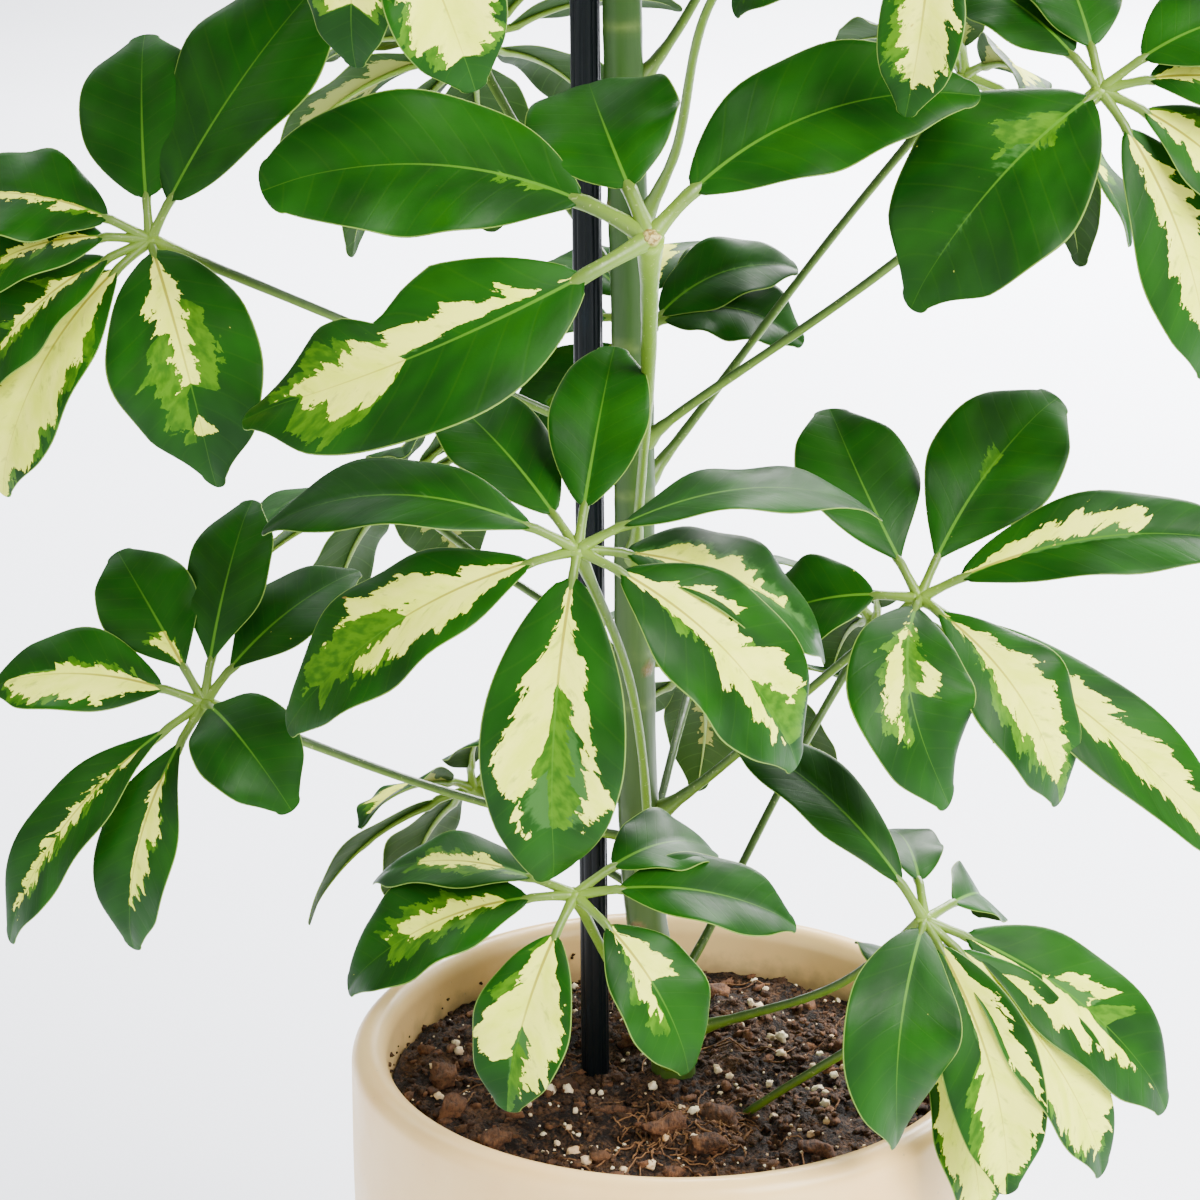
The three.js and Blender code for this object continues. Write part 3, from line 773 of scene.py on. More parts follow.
@dataclass
class Pot:
    """The round ceramic pot: flat base, soft foot, slightly swelling side and thick rounded rim."""

    radius: float = 98
    foot_radius: float = 90
    height: float = 177
    wall: float = 11
    floor: float = 14
    cove: float = 12
    taper: float = 5
    lip: float = 5.5
    edge: float = 7
    waist: float = 2
    waist_at: float = 0.4
    full_from: float = 0.72
    bare_foot: float = 0.8
    glaze_edge: float = 1.2
    axis_ring: float = 0.6
    sides: int = 160

    def inner_radius(self, z: float) -> float:
        """The radius of the inside: a cove above the floor, then a slight taper.

        Args:
            z: the height.

        Returns:
            The radius there.
        """
        mouth = self.radius - self.wall
        if z <= self.floor:
            return mouth - self.taper - self.cove * 0.8
        return mouth - self.taper * (1 - (z - self.floor - self.cove)
                                     / (self.height - self.lip - self.floor - self.cove))

    def _quarter(self, r: float, z: float, size: float, from_degrees: float, steps: int
                 ) -> list[tuple[float, float]]:
        """Points of a quarter circle in the section.

        Args:
            r: radius at which its centre is.
            z: height of its centre.
            size: its own radius.
            from_degrees: where it starts.
            steps: how many stretches it has.

        Returns:
            Rows of radius and height.
        """
        turns = [math.radians(from_degrees + 90 * k / steps) for k in range(steps + 1)]
        return [(r + size * math.cos(t), z + size * math.sin(t)) for t in turns]

    def profile(self) -> list[tuple[float, float, float, float]]:
        """The pot's section.

        Returns:
            Rows of radius, height, glazed and inside.
        """
        shoulder, cove_top = self.height - self.lip, self.floor + self.cove
        side = spline_through([(self.foot_radius, self.edge),
                               (self.radius - self.waist, self.height * self.waist_at),
                               (self.radius, self.height * self.full_from),
                               (self.radius, shoulder)], np.linspace(0, 1, 19)[1:-1])
        outside = self._quarter(self.foot_radius - self.edge, self.edge, self.edge, -90, 6)
        outside += [tuple(p) for p in side]
        outside += self._quarter(self.radius - self.lip, shoulder, self.lip, 0, 9)
        inside = self._quarter(self.radius - self.wall + self.lip, shoulder, self.lip, 90, 9)[1:]
        inside += [(self.inner_radius(z), z) for z in np.linspace(shoulder - 6, cove_top, 8)]
        inside += [(self.inner_radius(cove_top) - 3, self.floor + 3.5),
                   (self.inner_radius(self.floor), self.floor)]
        glazed = [min(1, max(0, (z - self.bare_foot) / self.glaze_edge)) for _, z in outside]
        rows = [(self.axis_ring, 0, 0, 0)] + [(r, z, share, 0) for (r, z), share in zip(outside, glazed)]
        return rows + [(r, z, 1, 1) for r, z in inside] + [(self.axis_ring, self.floor, 1, 1)]

    def build(self) -> None:
        """Makes the pot."""
        rows = np.array(self.profile())
        turns = -headings(self.sides)
        rings = np.stack([rows[:, 0, None] * np.cos(turns), rows[:, 0, None] * np.sin(turns),
                          np.broadcast_to(rows[:, 1, None], (len(rows), self.sides))], axis=-1)
        values = np.stack([rows[:, 2], rows[:, 3], rows[:, 2] * 0], axis=-1)[:, None, :]
        draft = Draft("pot")
        draft.skin(rings, pot=np.broadcast_to(values, rings.shape))
        place(draft.build("Pot", [GlazeFinish().material()]), "pot_glaze", "pot")


@dataclass
class Soil:
    """Peat with coir husk, perlite beads and fibres, filling the pot from its floor."""

    pot: Pot
    top: float = 161
    heap: float = 3
    edge_dip: float = 3.0
    left_rise: float = 2.4
    clump_rise: float = 2.6
    gap: float = 0.9
    rings: int = 110
    sides: int = 330
    seed: int = 71
    hole: float = 7.6
    trunk_at: tuple[float, float] = (0.6, 0)
    crumbs: int = 1700
    husks: int = 420
    beads: int = 400
    fibres: int = 60
    clump: tuple[float, float, float, float] = (5, -37, 20, 16)
    wall_crumbs: int = 90
    clump_fibres: int = 90

    def height_at(self, x: float, y: float) -> float:
        """The height of the uneven top over a point.

        Args:
            x: how far to the right of the pot's middle it is.
            y: how far behind it.

        Returns:
            The height.
        """
        def bumps(height: float, width: float, level: float) -> float:
            """One layer of unevenness, from how high and how wide its bumps are."""
            return height * noise.noise(Vector((x / width, y / width, level)))

        mouth = self.pot.inner_radius(self.top)
        share = min(math.hypot(x, y) / mouth, 1)
        smooth = self.top + self.heap * (1 - share * share)
        smooth -= self.edge_dip * float(smooth_step(share, 0.86, 1.0))
        smooth += self.left_rise * float(smooth_step(-x / mouth, 0.35, 0.9))
        mid_x, mid_y, wide, deep = self.clump
        off = ((x - mid_x) / wide) ** 2 + ((y - mid_y) / deep) ** 2
        smooth += self.clump_rise * float(smooth_step(off, 1.3, 0.2))
        broad = (bumps(3.4, 19, 1.7) + bumps(2.2, 7, 5.1)) * (1 - 0.5 * share ** 4)
        return smooth + broad + abs(bumps(1.9, 2.6, 9.3)) + bumps(0.9, 1.2, 3.9)

    def _bed(self, material: bpy.types.Material) -> None:
        """The body of the soil, with its crumbly top.

        Args:
            material: its finish.
        """
        floor, cove_top = self.pot.floor, self.pot.floor + self.pot.cove
        levels = [(floor, floor + self.gap), (cove_top, cove_top), (self.top - 6, self.top - 8)]
        turns = headings(self.sides)
        spokes = np.stack([np.cos(turns), np.sin(turns)], axis=-1)
        skins = [np.column_stack([spokes * (self.pot.inner_radius(inside_at) - self.gap),
                                  np.full(self.sides, z)]) for inside_at, z in levels]
        outer = self.pot.inner_radius(self.top) - self.gap
        for k in range(self.rings):
            r = outer * (1 - k / self.rings) ** 0.93
            flat = spokes * max(r, 0.8)
            skins.append(np.column_stack([flat, [self.height_at(x, y) for x, y in flat]]))
        rings = np.array(skins)
        tones = np.zeros_like(rings)
        for i, ring in enumerate(rings):
            for k, (x, y, z) in enumerate(ring):
                tones[i, k, 0] = 0.32 + 0.5 * noise.noise(Vector((x / 6, y / 6, z / 6)))
        draft = Draft("crumb")
        draft.skin(rings, crumb=tones)
        place(draft.build("Soil_bed", [material]), "potting_soil", "soil")

    def _spot(self, draw: Draw, reach: float = 0.95) -> tuple[float, float]:
        """A random place on the soil, clear of the trunk's hole.

        Args:
            draw: random numbers.
            reach: how far towards the pot it may be, of the inner radius.

        Returns:
            The place.
        """
        while True:
            turn, share = 2 * math.pi * draw(), math.sqrt(draw())
            r = share * self.pot.inner_radius(self.top) * reach
            x, y = r * math.cos(turn), r * math.sin(turn)
            if math.hypot(x - self.trunk_at[0], y - self.trunk_at[1]) > self.hole + 3:
                return x, y

    @staticmethod
    def _crumb(draft: Draft, draw: Draw, centre: Triple, size: Triple, dents: float, turn: float,
               tilt: float, tone: float, other: float, fine: bool = False, square: float = 0.75) -> None:
        """Adds one dented crumb.

        Args:
            draft: what it is added to.
            draw: random numbers.
            centre: its middle.
            size: its half sizes.
            dents: how uneven it is.
            turn: heading in degrees.
            tilt: lean in degrees.
            tone: how light it is.
            other: share of the other colour.
            fine: whether it has many faces.
            square: power that its corners are rounded with; 1 is round.
        """
        points, faces = ball(9, 14) if fine else ball(5, 7)
        phase = 100 * draw()
        swell = np.array([1 + dents * noise.noise(Vector(p) * 1.6 + Vector((phase, 0, 0)))
                          + 0.5 * dents * noise.noise(Vector(p) * 4 + Vector((0, phase, 0)))
                          for p in points])
        blocky = np.sign(points) * np.abs(points) ** square
        shaped = blocky * swell[:, None] * np.array(size)
        shaped = turned(shaped, np.array((1.0, 0, 0)), tilt)
        shaped = turned(shaped, np.array((0, 0, 1.0)), turn) + np.array(centre)
        draft.solid(shaped, faces, crumb=np.array((tone, other, 0)))

    def _peat_crumbs(self, material: bpy.types.Material) -> None:
        """Loose crumbs all over the soil, and some that cling to the inside of the pot.

        Args:
            material: their finish.
        """
        draw = draw_from(self.seed + 4)
        draft = Draft("crumb")
        for _ in range(self.crumbs):
            x, y = self._spot(draw)
            a = 0.5 + 1.3 * draw() ** 2
            self._crumb(draft, draw, (x, y, self.height_at(x, y) + a * 0.2),
                        (a, a * (0.5 + 0.4 * draw()), a * (0.45 + 0.3 * draw())), 0.9,
                        360 * draw(), 60 * (draw() - 0.5), 0.05 + 0.6 * draw(), 0.6 * draw())
        for _ in range(self.wall_crumbs):
            turn = math.radians(110 + 130 * draw())
            a = 0.35 + 0.8 * draw() ** 2
            z = self.top - 3 + 11 * draw() ** 2
            r = self.pot.inner_radius(z) - 0.3 * a
            self._crumb(draft, draw, (r * math.cos(turn), r * math.sin(turn), z),
                        (a, a * 0.8, a * 0.7), 0.8, 360 * draw(), 0, 0.2 + 0.5 * draw(), 0.3)
        place(draft.build("Soil_crumbs", [material]), "potting_soil")

    def _husk_chunks(self, material: bpy.types.Material) -> None:
        """Brown husk: big fibrous chunks at the front and the left, and many small ones.

        Args:
            material: their finish.
        """
        draw = draw_from(self.seed + 1)
        draft = Draft("crumb")
        big = [(-2, -42, 7, 4, 2.6, 35), (13, -33, 6, 4, 2.6, -30), (10, -52, 6, 3, 2.4, 10),
               (-66, -26, 6, 4, 3, 75), (-54, -46, 5, 3.4, 2.4, 30), (-70, -4, 6, 4, 3, 100),
               (-18, -24, 7, 2.2, 1.6, 5), (42, -50, 5, 3, 2.4, -20), (56, 18, 6, 4, 3, 40),
               (-40, 44, 7, 4, 3, 130), (14, 58, 6, 4, 3, 10), (-58, 24, 6, 4, 3, 60)]
        for x, y, a, b, c, turn in big:
            z = self.height_at(x, y) + c * 0.25
            self._crumb(draft, draw, (x, y, z), (a, b, c), 0.55, turn, 24 * (draw() - 0.5),
                        0.35 + 0.3 * draw(), 0.3 * draw(), True)
        for _ in range(self.husks):
            x, y = self._spot(draw)
            a = 0.8 + 2.6 * draw() ** 2.6
            self._crumb(draft, draw, (x, y, self.height_at(x, y) + a * 0.15),
                        (a, a * (0.4 + 0.4 * draw()), a * (0.3 + 0.3 * draw())), 0.7,
                        360 * draw(), 60 * (draw() - 0.5), 0.15 + 0.6 * draw(), 0.5 * draw())
        place(draft.build("Soil_husk", [material]), "potting_soil")

    def _perlite_beads(self, material: bpy.types.Material) -> None:
        """White beads, most of them small, some stained.

        Args:
            material: their finish.
        """
        draw = draw_from(self.seed + 2)
        draft = Draft("crumb")
        big = [(-30, -48, 2.3), (-24, -48, 1.7), (-37, -10, 2.1), (-42, -11, 1.9), (-32, -12, 1.7),
               (29, 49, 2.1), (35, 26, 2.1), (32, 29, 1.5), (6, -33, 1.7), (-7, -60, 1.9), (46, -33, 1.5),
               (30, -29, 1.4), (-67, -27, 1.5), (-66, 14, 1.7), (45, -6, 1.5), (-54, -19, 1.4),
               (50, 1, 1.4), (-26, -54, 1.7), (28, 68, 1.2)]
        small = [(*self._spot(draw), 0.35 + 1.3 * draw() ** 3) for _ in range(self.beads)]
        for x, y, a in big + small:
            stained = 0.2 + 1.1 * draw() if draw() > 0.5 else 0.0
            self._crumb(draft, draw, (x, y, self.height_at(x, y) + a * 0.45),
                        (a, a * (0.7 + 0.25 * draw()), a * (0.65 + 0.25 * draw())), 0.5,
                        360 * draw(), 40 * draw(), 0.5 + 0.5 * draw(), stained, a > 1.2, 0.95)
        place(draft.build("Soil_perlite", [material]), "potting_soil")

    def _fibre_strands(self, material: bpy.types.Material) -> None:
        """Thin curved strands that lie on the soil, most of them on the fibrous clump.

        Args:
            material: their finish.
        """
        draw = draw_from(self.seed + 3)
        draft = Draft("crumb")
        mid_x, mid_y, wide, deep = self.clump
        steps = 12
        for strand in range(self.fibres + self.clump_fibres):
            heading, bend = 2 * math.pi * draw(), 1.6 * (draw() - 0.5)
            length = 8 + 22 * draw()
            if strand < self.fibres:
                x, y = self._spot(draw, 0.85)
            else:
                turn, far = 2 * math.pi * draw(), 0.9 * math.sqrt(draw())
                x, y = mid_x + wide * far * math.cos(turn), mid_y + deep * far * math.sin(turn)
                length, bend = 0.6 * length, 3.2 * bend
            path = []
            for k in range(steps):
                if math.hypot(x, y) > 0.93 * self.pot.inner_radius(self.top):
                    break
                path.append((x, y, self.height_at(x, y) + 0.35 + 0.5 * math.sin(math.pi * k / steps)))
                heading += bend / steps * 2 + 0.3 * (draw() - 0.5)
                x, y = x + length / steps * math.cos(heading), y + length / steps * math.sin(heading)
            if len(path) < 4:
                continue
            radii = np.full(len(path), 0.16 + 0.16 * draw())
            values = np.array((0.2 + 0.7 * draw(), 0.3 * draw(), 0))
            draft.skin(tube_rings(np.array(path), radii, 5), crumb=values)
        place(draft.build("Soil_fibres", [material]), "potting_soil")

    def build(self) -> None:
        """Makes the soil."""
        self._bed(PEAT.material())
        self._peat_crumbs(PEAT.material())
        self._husk_chunks(HUSK.material())
        self._perlite_beads(PERLITE.material())
        self._fibre_strands(FIBRE.material())


@dataclass
class Stake:
    """The round support stake with soft ridges along it and a rounded head."""

    foot: Triple = (-22.4, 4, 40)
    head: Triple = (-27.6, 4, 642)
    radius: float = 4.3
    groove: float = 0.45
    ridges: int = 9
    sides: int = 108
    rounding: float = 1.6
    end_stations: tuple[float, ...] = (0, 0.25, 0.6, 1.1, 1.6)
    plain_from: float = 6
    plain_stations: int = 40

    def build(self) -> None:
        """Makes the stake."""
        foot, head = np.array(self.foot, float), np.array(self.head, float)
        length = np.linalg.norm(head - foot)
        ends = np.array(self.end_stations)
        plain = np.linspace(self.plain_from, length - self.plain_from, self.plain_stations)
        at = np.concatenate([ends, plain, length - ends[::-1]])
        from_end = np.minimum(at, length - at)
        rounded = np.sqrt(np.maximum(0, self.rounding ** 2 - (self.rounding - from_end) ** 2))
        inset = np.where(from_end < self.rounding, self.rounding - rounded, 0)
        wave = np.abs(np.cos(headings(self.sides) * self.ridges / 2)) ** 0.5
        radii = (self.radius - self.groove * (1 - wave))[None, :] - inset[:, None]
        path = foot + (head - foot) * (at / length)[:, None]
        draft = Draft()
        draft.skin(tube_rings(path, radii, self.sides))
        place(draft.build("Stake", [StakeFinish().material()]), "stake_plastic", "stake")


@dataclass
class Trunk:
    """The green trunk, from the root crown in the soil to the growing tip."""

    line: tuple[tuple[float, float, float, float], ...] = (
        (2, 0, 72, 2.6), (2, 0, 110, 7.4), (1, 0, 145, 7.2), (0, 0, 172, 6.6), (-5, 0, 196, 6.3),
        (-9, 0, 225, 6.1), (-11, 0, 262, 6.0), (-12, 0, 310, 5.9), (-12, 0, 360, 5.8),
        (-13.5, 0, 420, 5.7), (-15.5, 1, 480, 5.5), (-16.5, 2, 540, 5.1), (-16, 3, 590, 4.6),
        (-15, 3, 632, 3.8))
    sides: int = 36
    rings_at: tuple[float, ...] = (189, 206, 229, 252, 287, 302, 332, 351, 379, 396, 431, 451, 470, 487,
                                   503, 523, 542, 560, 578, 596, 613)
    scars_at: tuple[tuple[float, float], ...] = (
        (197, 250), (216, 120), (262, 300), (298, 190), (340, 20), (405, 290), (436, 60))
    stations: int = 420
    groove: float = 0.12
    groove_width: float = 1.5
    swelling: float = 0.22
    swelling_width: float = 5
    ribs: int = 5
    rib_depth: float = 0.018
    rib_twist: float = 60
    scar_rise: float = 0.35
    scar_height: float = 2.6
    scar_degrees: float = 26
    tip: float = 1.5
    tone_from: float = 160
    tone_span: float = 470

    def centre(self, z: float) -> np.ndarray:
        """The centre line, straight between the rows.

        Args:
            z: the height.

        Returns:
            The line's point there.
        """
        rows = np.array(self.line)
        return np.array([np.interp(z, rows[:, 2], rows[:, 0]), np.interp(z, rows[:, 2], rows[:, 1]), z])

    def build(self) -> None:
        """Makes the trunk with its rings, scars and faint ribs."""
        smooth = spline_through(np.array(self.line), np.linspace(0, 1, self.stations))
        heights, turns = smooth[:, 2], headings(self.sides)
        ring = np.zeros(len(heights))
        for at in self.rings_at:
            ring = np.maximum(ring, bell(heights - at, self.groove_width))
        swelling = sum(bell(heights - at, self.swelling_width) for at in self.rings_at)
        ribs = 1 + self.rib_depth * np.cos(self.ribs * turns[None, :] + heights[:, None] / self.rib_twist)
        radii = (smooth[:, 3] + self.swelling * swelling - self.groove * ring)[:, None] * ribs
        scar = np.zeros((len(heights), self.sides))
        for at, heading in self.scars_at:
            off = (np.degrees(turns) - heading + 180) % 360 - 180
            scar = np.maximum(scar, np.exp(-((heights[:, None] - at) / self.scar_height) ** 2
                                           - (off[None, :] / self.scar_degrees) ** 2))
        radii = radii + self.scar_rise * scar
        tone = (heights - self.tone_from) / self.tone_span
        values = np.stack([np.broadcast_to(tone[:, None], scar.shape),
                           np.broadcast_to(ring[:, None], scar.shape),
                           smooth_step(scar, 0.35, 0.7)], axis=-1)
        draft = Draft("trunk")
        rings = tube_rings(smooth[:, :3], radii, self.sides)
        draft.skin(rings, trunk=values, tip=smooth[-1, :3] + np.array((0, 0, self.tip)))
        place(draft.build("Trunk", [TrunkFinish().material()]), "green_stem", "trunk")


# ---------------------------------------------------------------- leaves

class LeafFinish(IntEnum):
    """Numbers of a leaf's finishes."""

    BLADE = 0
    STALK = 1


NO_LOBES = "0" * 10


@dataclass(frozen=True)
class Marks:
    """Cream and lime marks of one blade, lobe by lobe from its base to its tip, and its two ends.

    Each string has one digit a lobe: how far the mark reaches from the midrib, in tenths of the
    half width. "left" is the left half as seen by someone walking along the midrib to the tip.
    An island is green again from the midrib that far out, and a trim takes that much off the edge.
    Where the lime strings are empty, lime lobes reach past the cream ones at random. Haze is how far
    a grey green, partly the marks' own border and partly a painted sheen, reaches past both. Blunt and
    wedge form the ends, as marks() says.
    """

    left: str = NO_LOBES
    right: str = NO_LOBES
    island_left: str = NO_LOBES
    island_right: str = NO_LOBES
    lime_left: str = ""
    lime_right: str = ""
    trim_left: str = NO_LOBES
    trim_right: str = NO_LOBES
    haze: float = 0.0
    blunt: float = 0.45
    wedge: float = 0.15


def marks(text: str, haze: float = 0.0, blunt: float = 0.45, wedge: float = 0.15) -> Marks:
    """Marks from a line of strings with slashes between them, and the form of the blade's two ends.

    Args:
        text: the strings of digits, in the order of the fields; a single 0 stands for ten.
        haze: how far the haze, partly a painted sheen, reaches past the marks, of the half width.
        blunt: 0 for a blade drawn out to its tip, 1 for a round end.
        wedge: 0 for a round base, 1 for one that widens slowly.

    Returns:
        The marks.
    """
    sides = ("left", "right", "island_left", "island_right", "lime_left", "lime_right", "trim_left",
             "trim_right")
    given = {side: NO_LOBES if part == "0" else part
             for side, part in zip(sides, text.split("/")) if part}
    return Marks(**given, haze=haze, blunt=blunt, wedge=wedge)


def plain(blunt: float = 0.45, wedge: float = 0.15) -> Marks:
    """Marks of a blade that is green all over, with its ends as marks() takes them."""
    return marks("////0/0", 0.1, blunt, wedge)


# A green blade with a stray lime lobe or two, and one without.
GREEN = marks("", 0.2)
PLAIN = plain()


class Leaflet(NamedTuple):
    """One leaflet: its tip from the hub, its form in millimetres and degrees, and its marks.

    A bare stalk longer than BladeShape allows is cut to that share. Without a coat, a rule draws one.
    """

    x: float
    y: float
    z: float
    width: float
    arch: float
    sway: float = 0
    roll: float = 0
    stalk: float = 11
    coat: Marks | None = None


@dataclass(frozen=True)
class Leaf:
    """One compound leaf: its stalk's route, its hub, the way the hub faces, and its leaflets."""

    name: str
    seed: int
    stem: tuple[Triple, Triple, Triple]
    hub: Triple
    face: Triple
    leaflets: tuple[Leaflet, ...]
    girth: float = 1
    scarred: bool = False


@dataclass(frozen=True)
class BladeShape:
    """How every blade is formed."""

    thickness: float = 0.6
    edge_thickness: float = 0.28
    edge_round: float = 0.16
    longest_stalk: float = 0.22
    stalk_radius: float = 1.05
    rows: int = 44
    first_row: float = 0.035
    last_row: float = 0.992
    columns: int = 8
    crowding: float = 0.85
    slant: float = 0.5
    valley: float = 0.2
    crown: float = 0.12
    fullness: float = 0.72
    tip_from: float = 0.78
    tip_neck: float = 0.93
    tip_pinch: float = 0.36
    tip_round: float = 0.955
    wave: float = 0.09
    curl_from: float = 0.84
    curl_over: float = 0.16
    curl_reach: float = 0.6
    rib_sides: int = 8

    def outline(self, share: np.ndarray, coat: Marks) -> np.ndarray:
        """The blade's width at shares of its length: a half wave, fuller towards a blunt end.

        Args:
            share: where along the blade.
            coat: says how blunt and how wedge-shaped its ends are.

        Returns:
            The width there, of the greatest one.
        """
        kept = np.minimum(share, self.tip_round)
        base = self.fullness - 0.12 * coat.blunt * (1 - coat.wedge) + 0.5 * coat.wedge
        end = self.fullness - 0.26 * coat.blunt
        power = base + (end - base) * smooth_step(kept, 0.2, 0.8)
        lean = 0.9 + 0.2 * coat.blunt + 0.15 * coat.wedge
        body = np.sin(np.pi * np.clip(kept, 0, 1) ** lean) ** power
        pinch = 1 - self.tip_pinch * (1 - coat.blunt) * smooth_step(kept, self.tip_from, self.tip_neck)
        past = np.clip((share - self.tip_round) / (1 - self.tip_round), 0, 1)
        return body * pinch * np.sqrt(1 - past ** 2)


@dataclass(frozen=True)
class StalkShape:
    """How every leaf's stalk and knob are formed: rows of share and radius from trunk to hub."""

    trunk_end: tuple[tuple[float, float], ...] = ((0, 3.3), (0.07, 3.6), (0.13, 3.0), (0.2, 2.0),
                                                  (0.3, 1.5), (0.5, 1.3))
    hub_end: tuple[tuple[float, float], ...] = ((0.75, 1.3), (0.9, 1.5), (0.97, 2.0), (1, 2.4))
    stations: int = 61
    sides: int = 14
    inside_trunk: float = 3.4
    knob_radius: float = 2.7
    knob_flatness: float = 0.8
    scar_faces: Triple = (0.1, -0.88, 0.42)
    scar_rise: float = 0.9


@dataclass(frozen=True)
class MarkRule:
    """How marks are laid out over a blade, lobe by lobe and vein by vein."""

    clear_mm: float = 4.0
    no_lobe: float = -0.45
    lobe_margin: float = 0.03
    veins: int = 24
    hearted: float = 0.34
    wane: tuple[float, ...] = (0.5, 0.8, 0.9, 1.0, 1.0, 0.9, 0.8, 0.5, 0.2, 0.0)

    def _lobes(self, digits: str, run: np.ndarray, draw: Draw, uneven: float = 0.3) -> np.ndarray:
        """How far a mark reaches at each vein.

        Args:
            digits: one for each lobe; a 0 keeps well clear of the midrib.
            run: vein shares of the points.
            draw: random numbers.
            uneven: how much neighbouring veins differ.

        Returns:
            The reach at each point, of the half width.
        """
        reach = np.array([self.no_lobe if d == "0" else int(d) / 10 + self.lobe_margin for d in digits])
        at = np.clip(run * len(reach) - 0.5, 0, len(reach) - 1)
        low = np.floor(at).astype(int)
        high = np.minimum(low + 1, len(reach) - 1)
        share = smooth_step(at - low, 0.3, 0.7)
        mean = reach[low] * (1 - share) + reach[high] * share
        veins = np.array([draw() - 0.5 for _ in range(self.veins)])
        at = run * (len(veins) - 1.001)
        low = np.floor(at).astype(int)
        share = smooth_step(at - low, 0.25, 0.75)
        change = veins[low] * (1 - share) + veins[low + 1] * share
        return mean + uneven * change * smooth_step(mean, 0, 0.4)

    @staticmethod
    def _beyond(digits: str, draw: Draw) -> str:
        """Lime lobes that reach past the cream ones here and there.

        Args:
            digits: the cream lobes.
            draw: random numbers.

        Returns:
            The lime lobes.
        """
        more, extra = "", 0
        for d in digits:
            if draw() > 0.6:
                extra = (0, 0, 2, 3)[int(draw() * 3.999)]
            if d != "0" and extra:
                more += str(min(9, int(d) + extra))
            else:
                more += "3" if draw() > 0.95 else "0"
        return more

    def distances(self, coat: Marks, run: np.ndarray, across: np.ndarray, half: np.ndarray, draw: Draw
                  ) -> np.ndarray:
        """Distances from each point to the cream, lime and haze borders, in millimetres.

        Args:
            coat: the blade's marks.
            run: vein shares of the points.
            across: places across, from -1 to 1.
            half: half widths.
            draw: random numbers.

        Returns:
            Rows of three distances, positive inside a mark.
        """
        left = across >= 0
        off = np.abs(across)
        outer = np.where(left, self._lobes(coat.left, run, draw), self._lobes(coat.right, run, draw))
        inner = np.where(left, self._lobes(coat.island_left, run, draw, 0.2),
                         self._lobes(coat.island_right, run, draw, 0.2))
        cream = np.minimum(outer - off, off - inner)
        lime_left = coat.lime_left or self._beyond(coat.left, draw)
        lime_right = coat.lime_right or self._beyond(coat.right, draw)
        reach = np.where(left, self._lobes(lime_left, run, draw), self._lobes(lime_right, run, draw))
        lime = reach - off
        near = np.maximum(np.maximum(reach, outer), 0)
        # how far the haze, partly a painted sheen, reaches past the marks
        haze = near + coat.haze - off - 0.25 - 0.4 * smooth_step(run, 0.75, 1)
        return np.stack([cream * half - self.clear_mm * smooth_step(-outer, 0, 0.4),
                         lime * half - self.clear_mm * smooth_step(-reach, 0, 0.4), haze * half], axis=-1)

    def any_coat(self, draw: Draw) -> Marks:
        """Marks of a blade that the rule makes: most are green, some have a cream heart.

        Args:
            draw: random numbers.

        Returns:
            The marks, which are strongest a little before the middle.
        """
        if draw() > self.hearted:
            return GREEN
        strength = 1.5 + 6 * draw()
        left, right = ("".join(str(int(max(0, min(9, strength * share * (0.5 + draw())))))
                               for share in self.wane) for _ in range(2))
        return marks(f"{left}/{right}", 0.2)


class Midrib:
    """The curve that a leaflet grows along, from the hub to its tip: first bare, then the blade's."""

    def __init__(self, hub: np.ndarray, face: np.ndarray, spec: Leaflet, shape: BladeShape, curl: float
                 ) -> None:
        """Works out the curve.

        Args:
            hub: the hub's centre.
            face: the way the hub faces.
            spec: the leaflet's place and form.
            shape: how blades are formed.
            curl: how much its tip curls down, in 80ths of its length.
        """
        self.hub, self.face, self.roll, self.shape = hub, face, spec.roll, shape
        self.tip = hub + np.array((spec.x, spec.y, spec.z), float)
        self.length = float(np.linalg.norm(self.tip - hub))
        chord = (self.tip - hub) / self.length
        up = unit(face - chord * face.dot(chord))
        side = np.cross(chord, up)
        self.middle = (hub + self.tip) / 2 + up * 2 * spec.arch + side * 2 * spec.sway
        self.bare = min(spec.stalk / self.length, shape.longest_stalk)
        self.curl = curl * self.length / 80

    def at(self, t: np.ndarray) -> tuple[np.ndarray, np.ndarray, np.ndarray]:
        """The curve at shares of its length.

        Args:
            t: the shares.

        Returns:
            Its points there, and the directions of the blade's upper and left sides.
        """
        hub, middle, tip, shape = self.hub, self.middle, self.tip, self.shape
        t = t[..., None]
        point = (1 - t) ** 2 * hub + 2 * t * (1 - t) * middle + t ** 2 * tip
        along = unit(2 * (1 - t) * (middle - hub) + 2 * t * (tip - middle))
        normal = unit(self.face - along * np.sum(along * self.face, axis=-1, keepdims=True))
        normal = turned(normal, along, self.roll)
        curled = normal * self.curl * smooth_step(t, shape.curl_from, 1.0)
        point = point - curled * (t - shape.curl_from) / shape.curl_over * shape.curl_reach
        return point, normal, np.cross(normal, along)


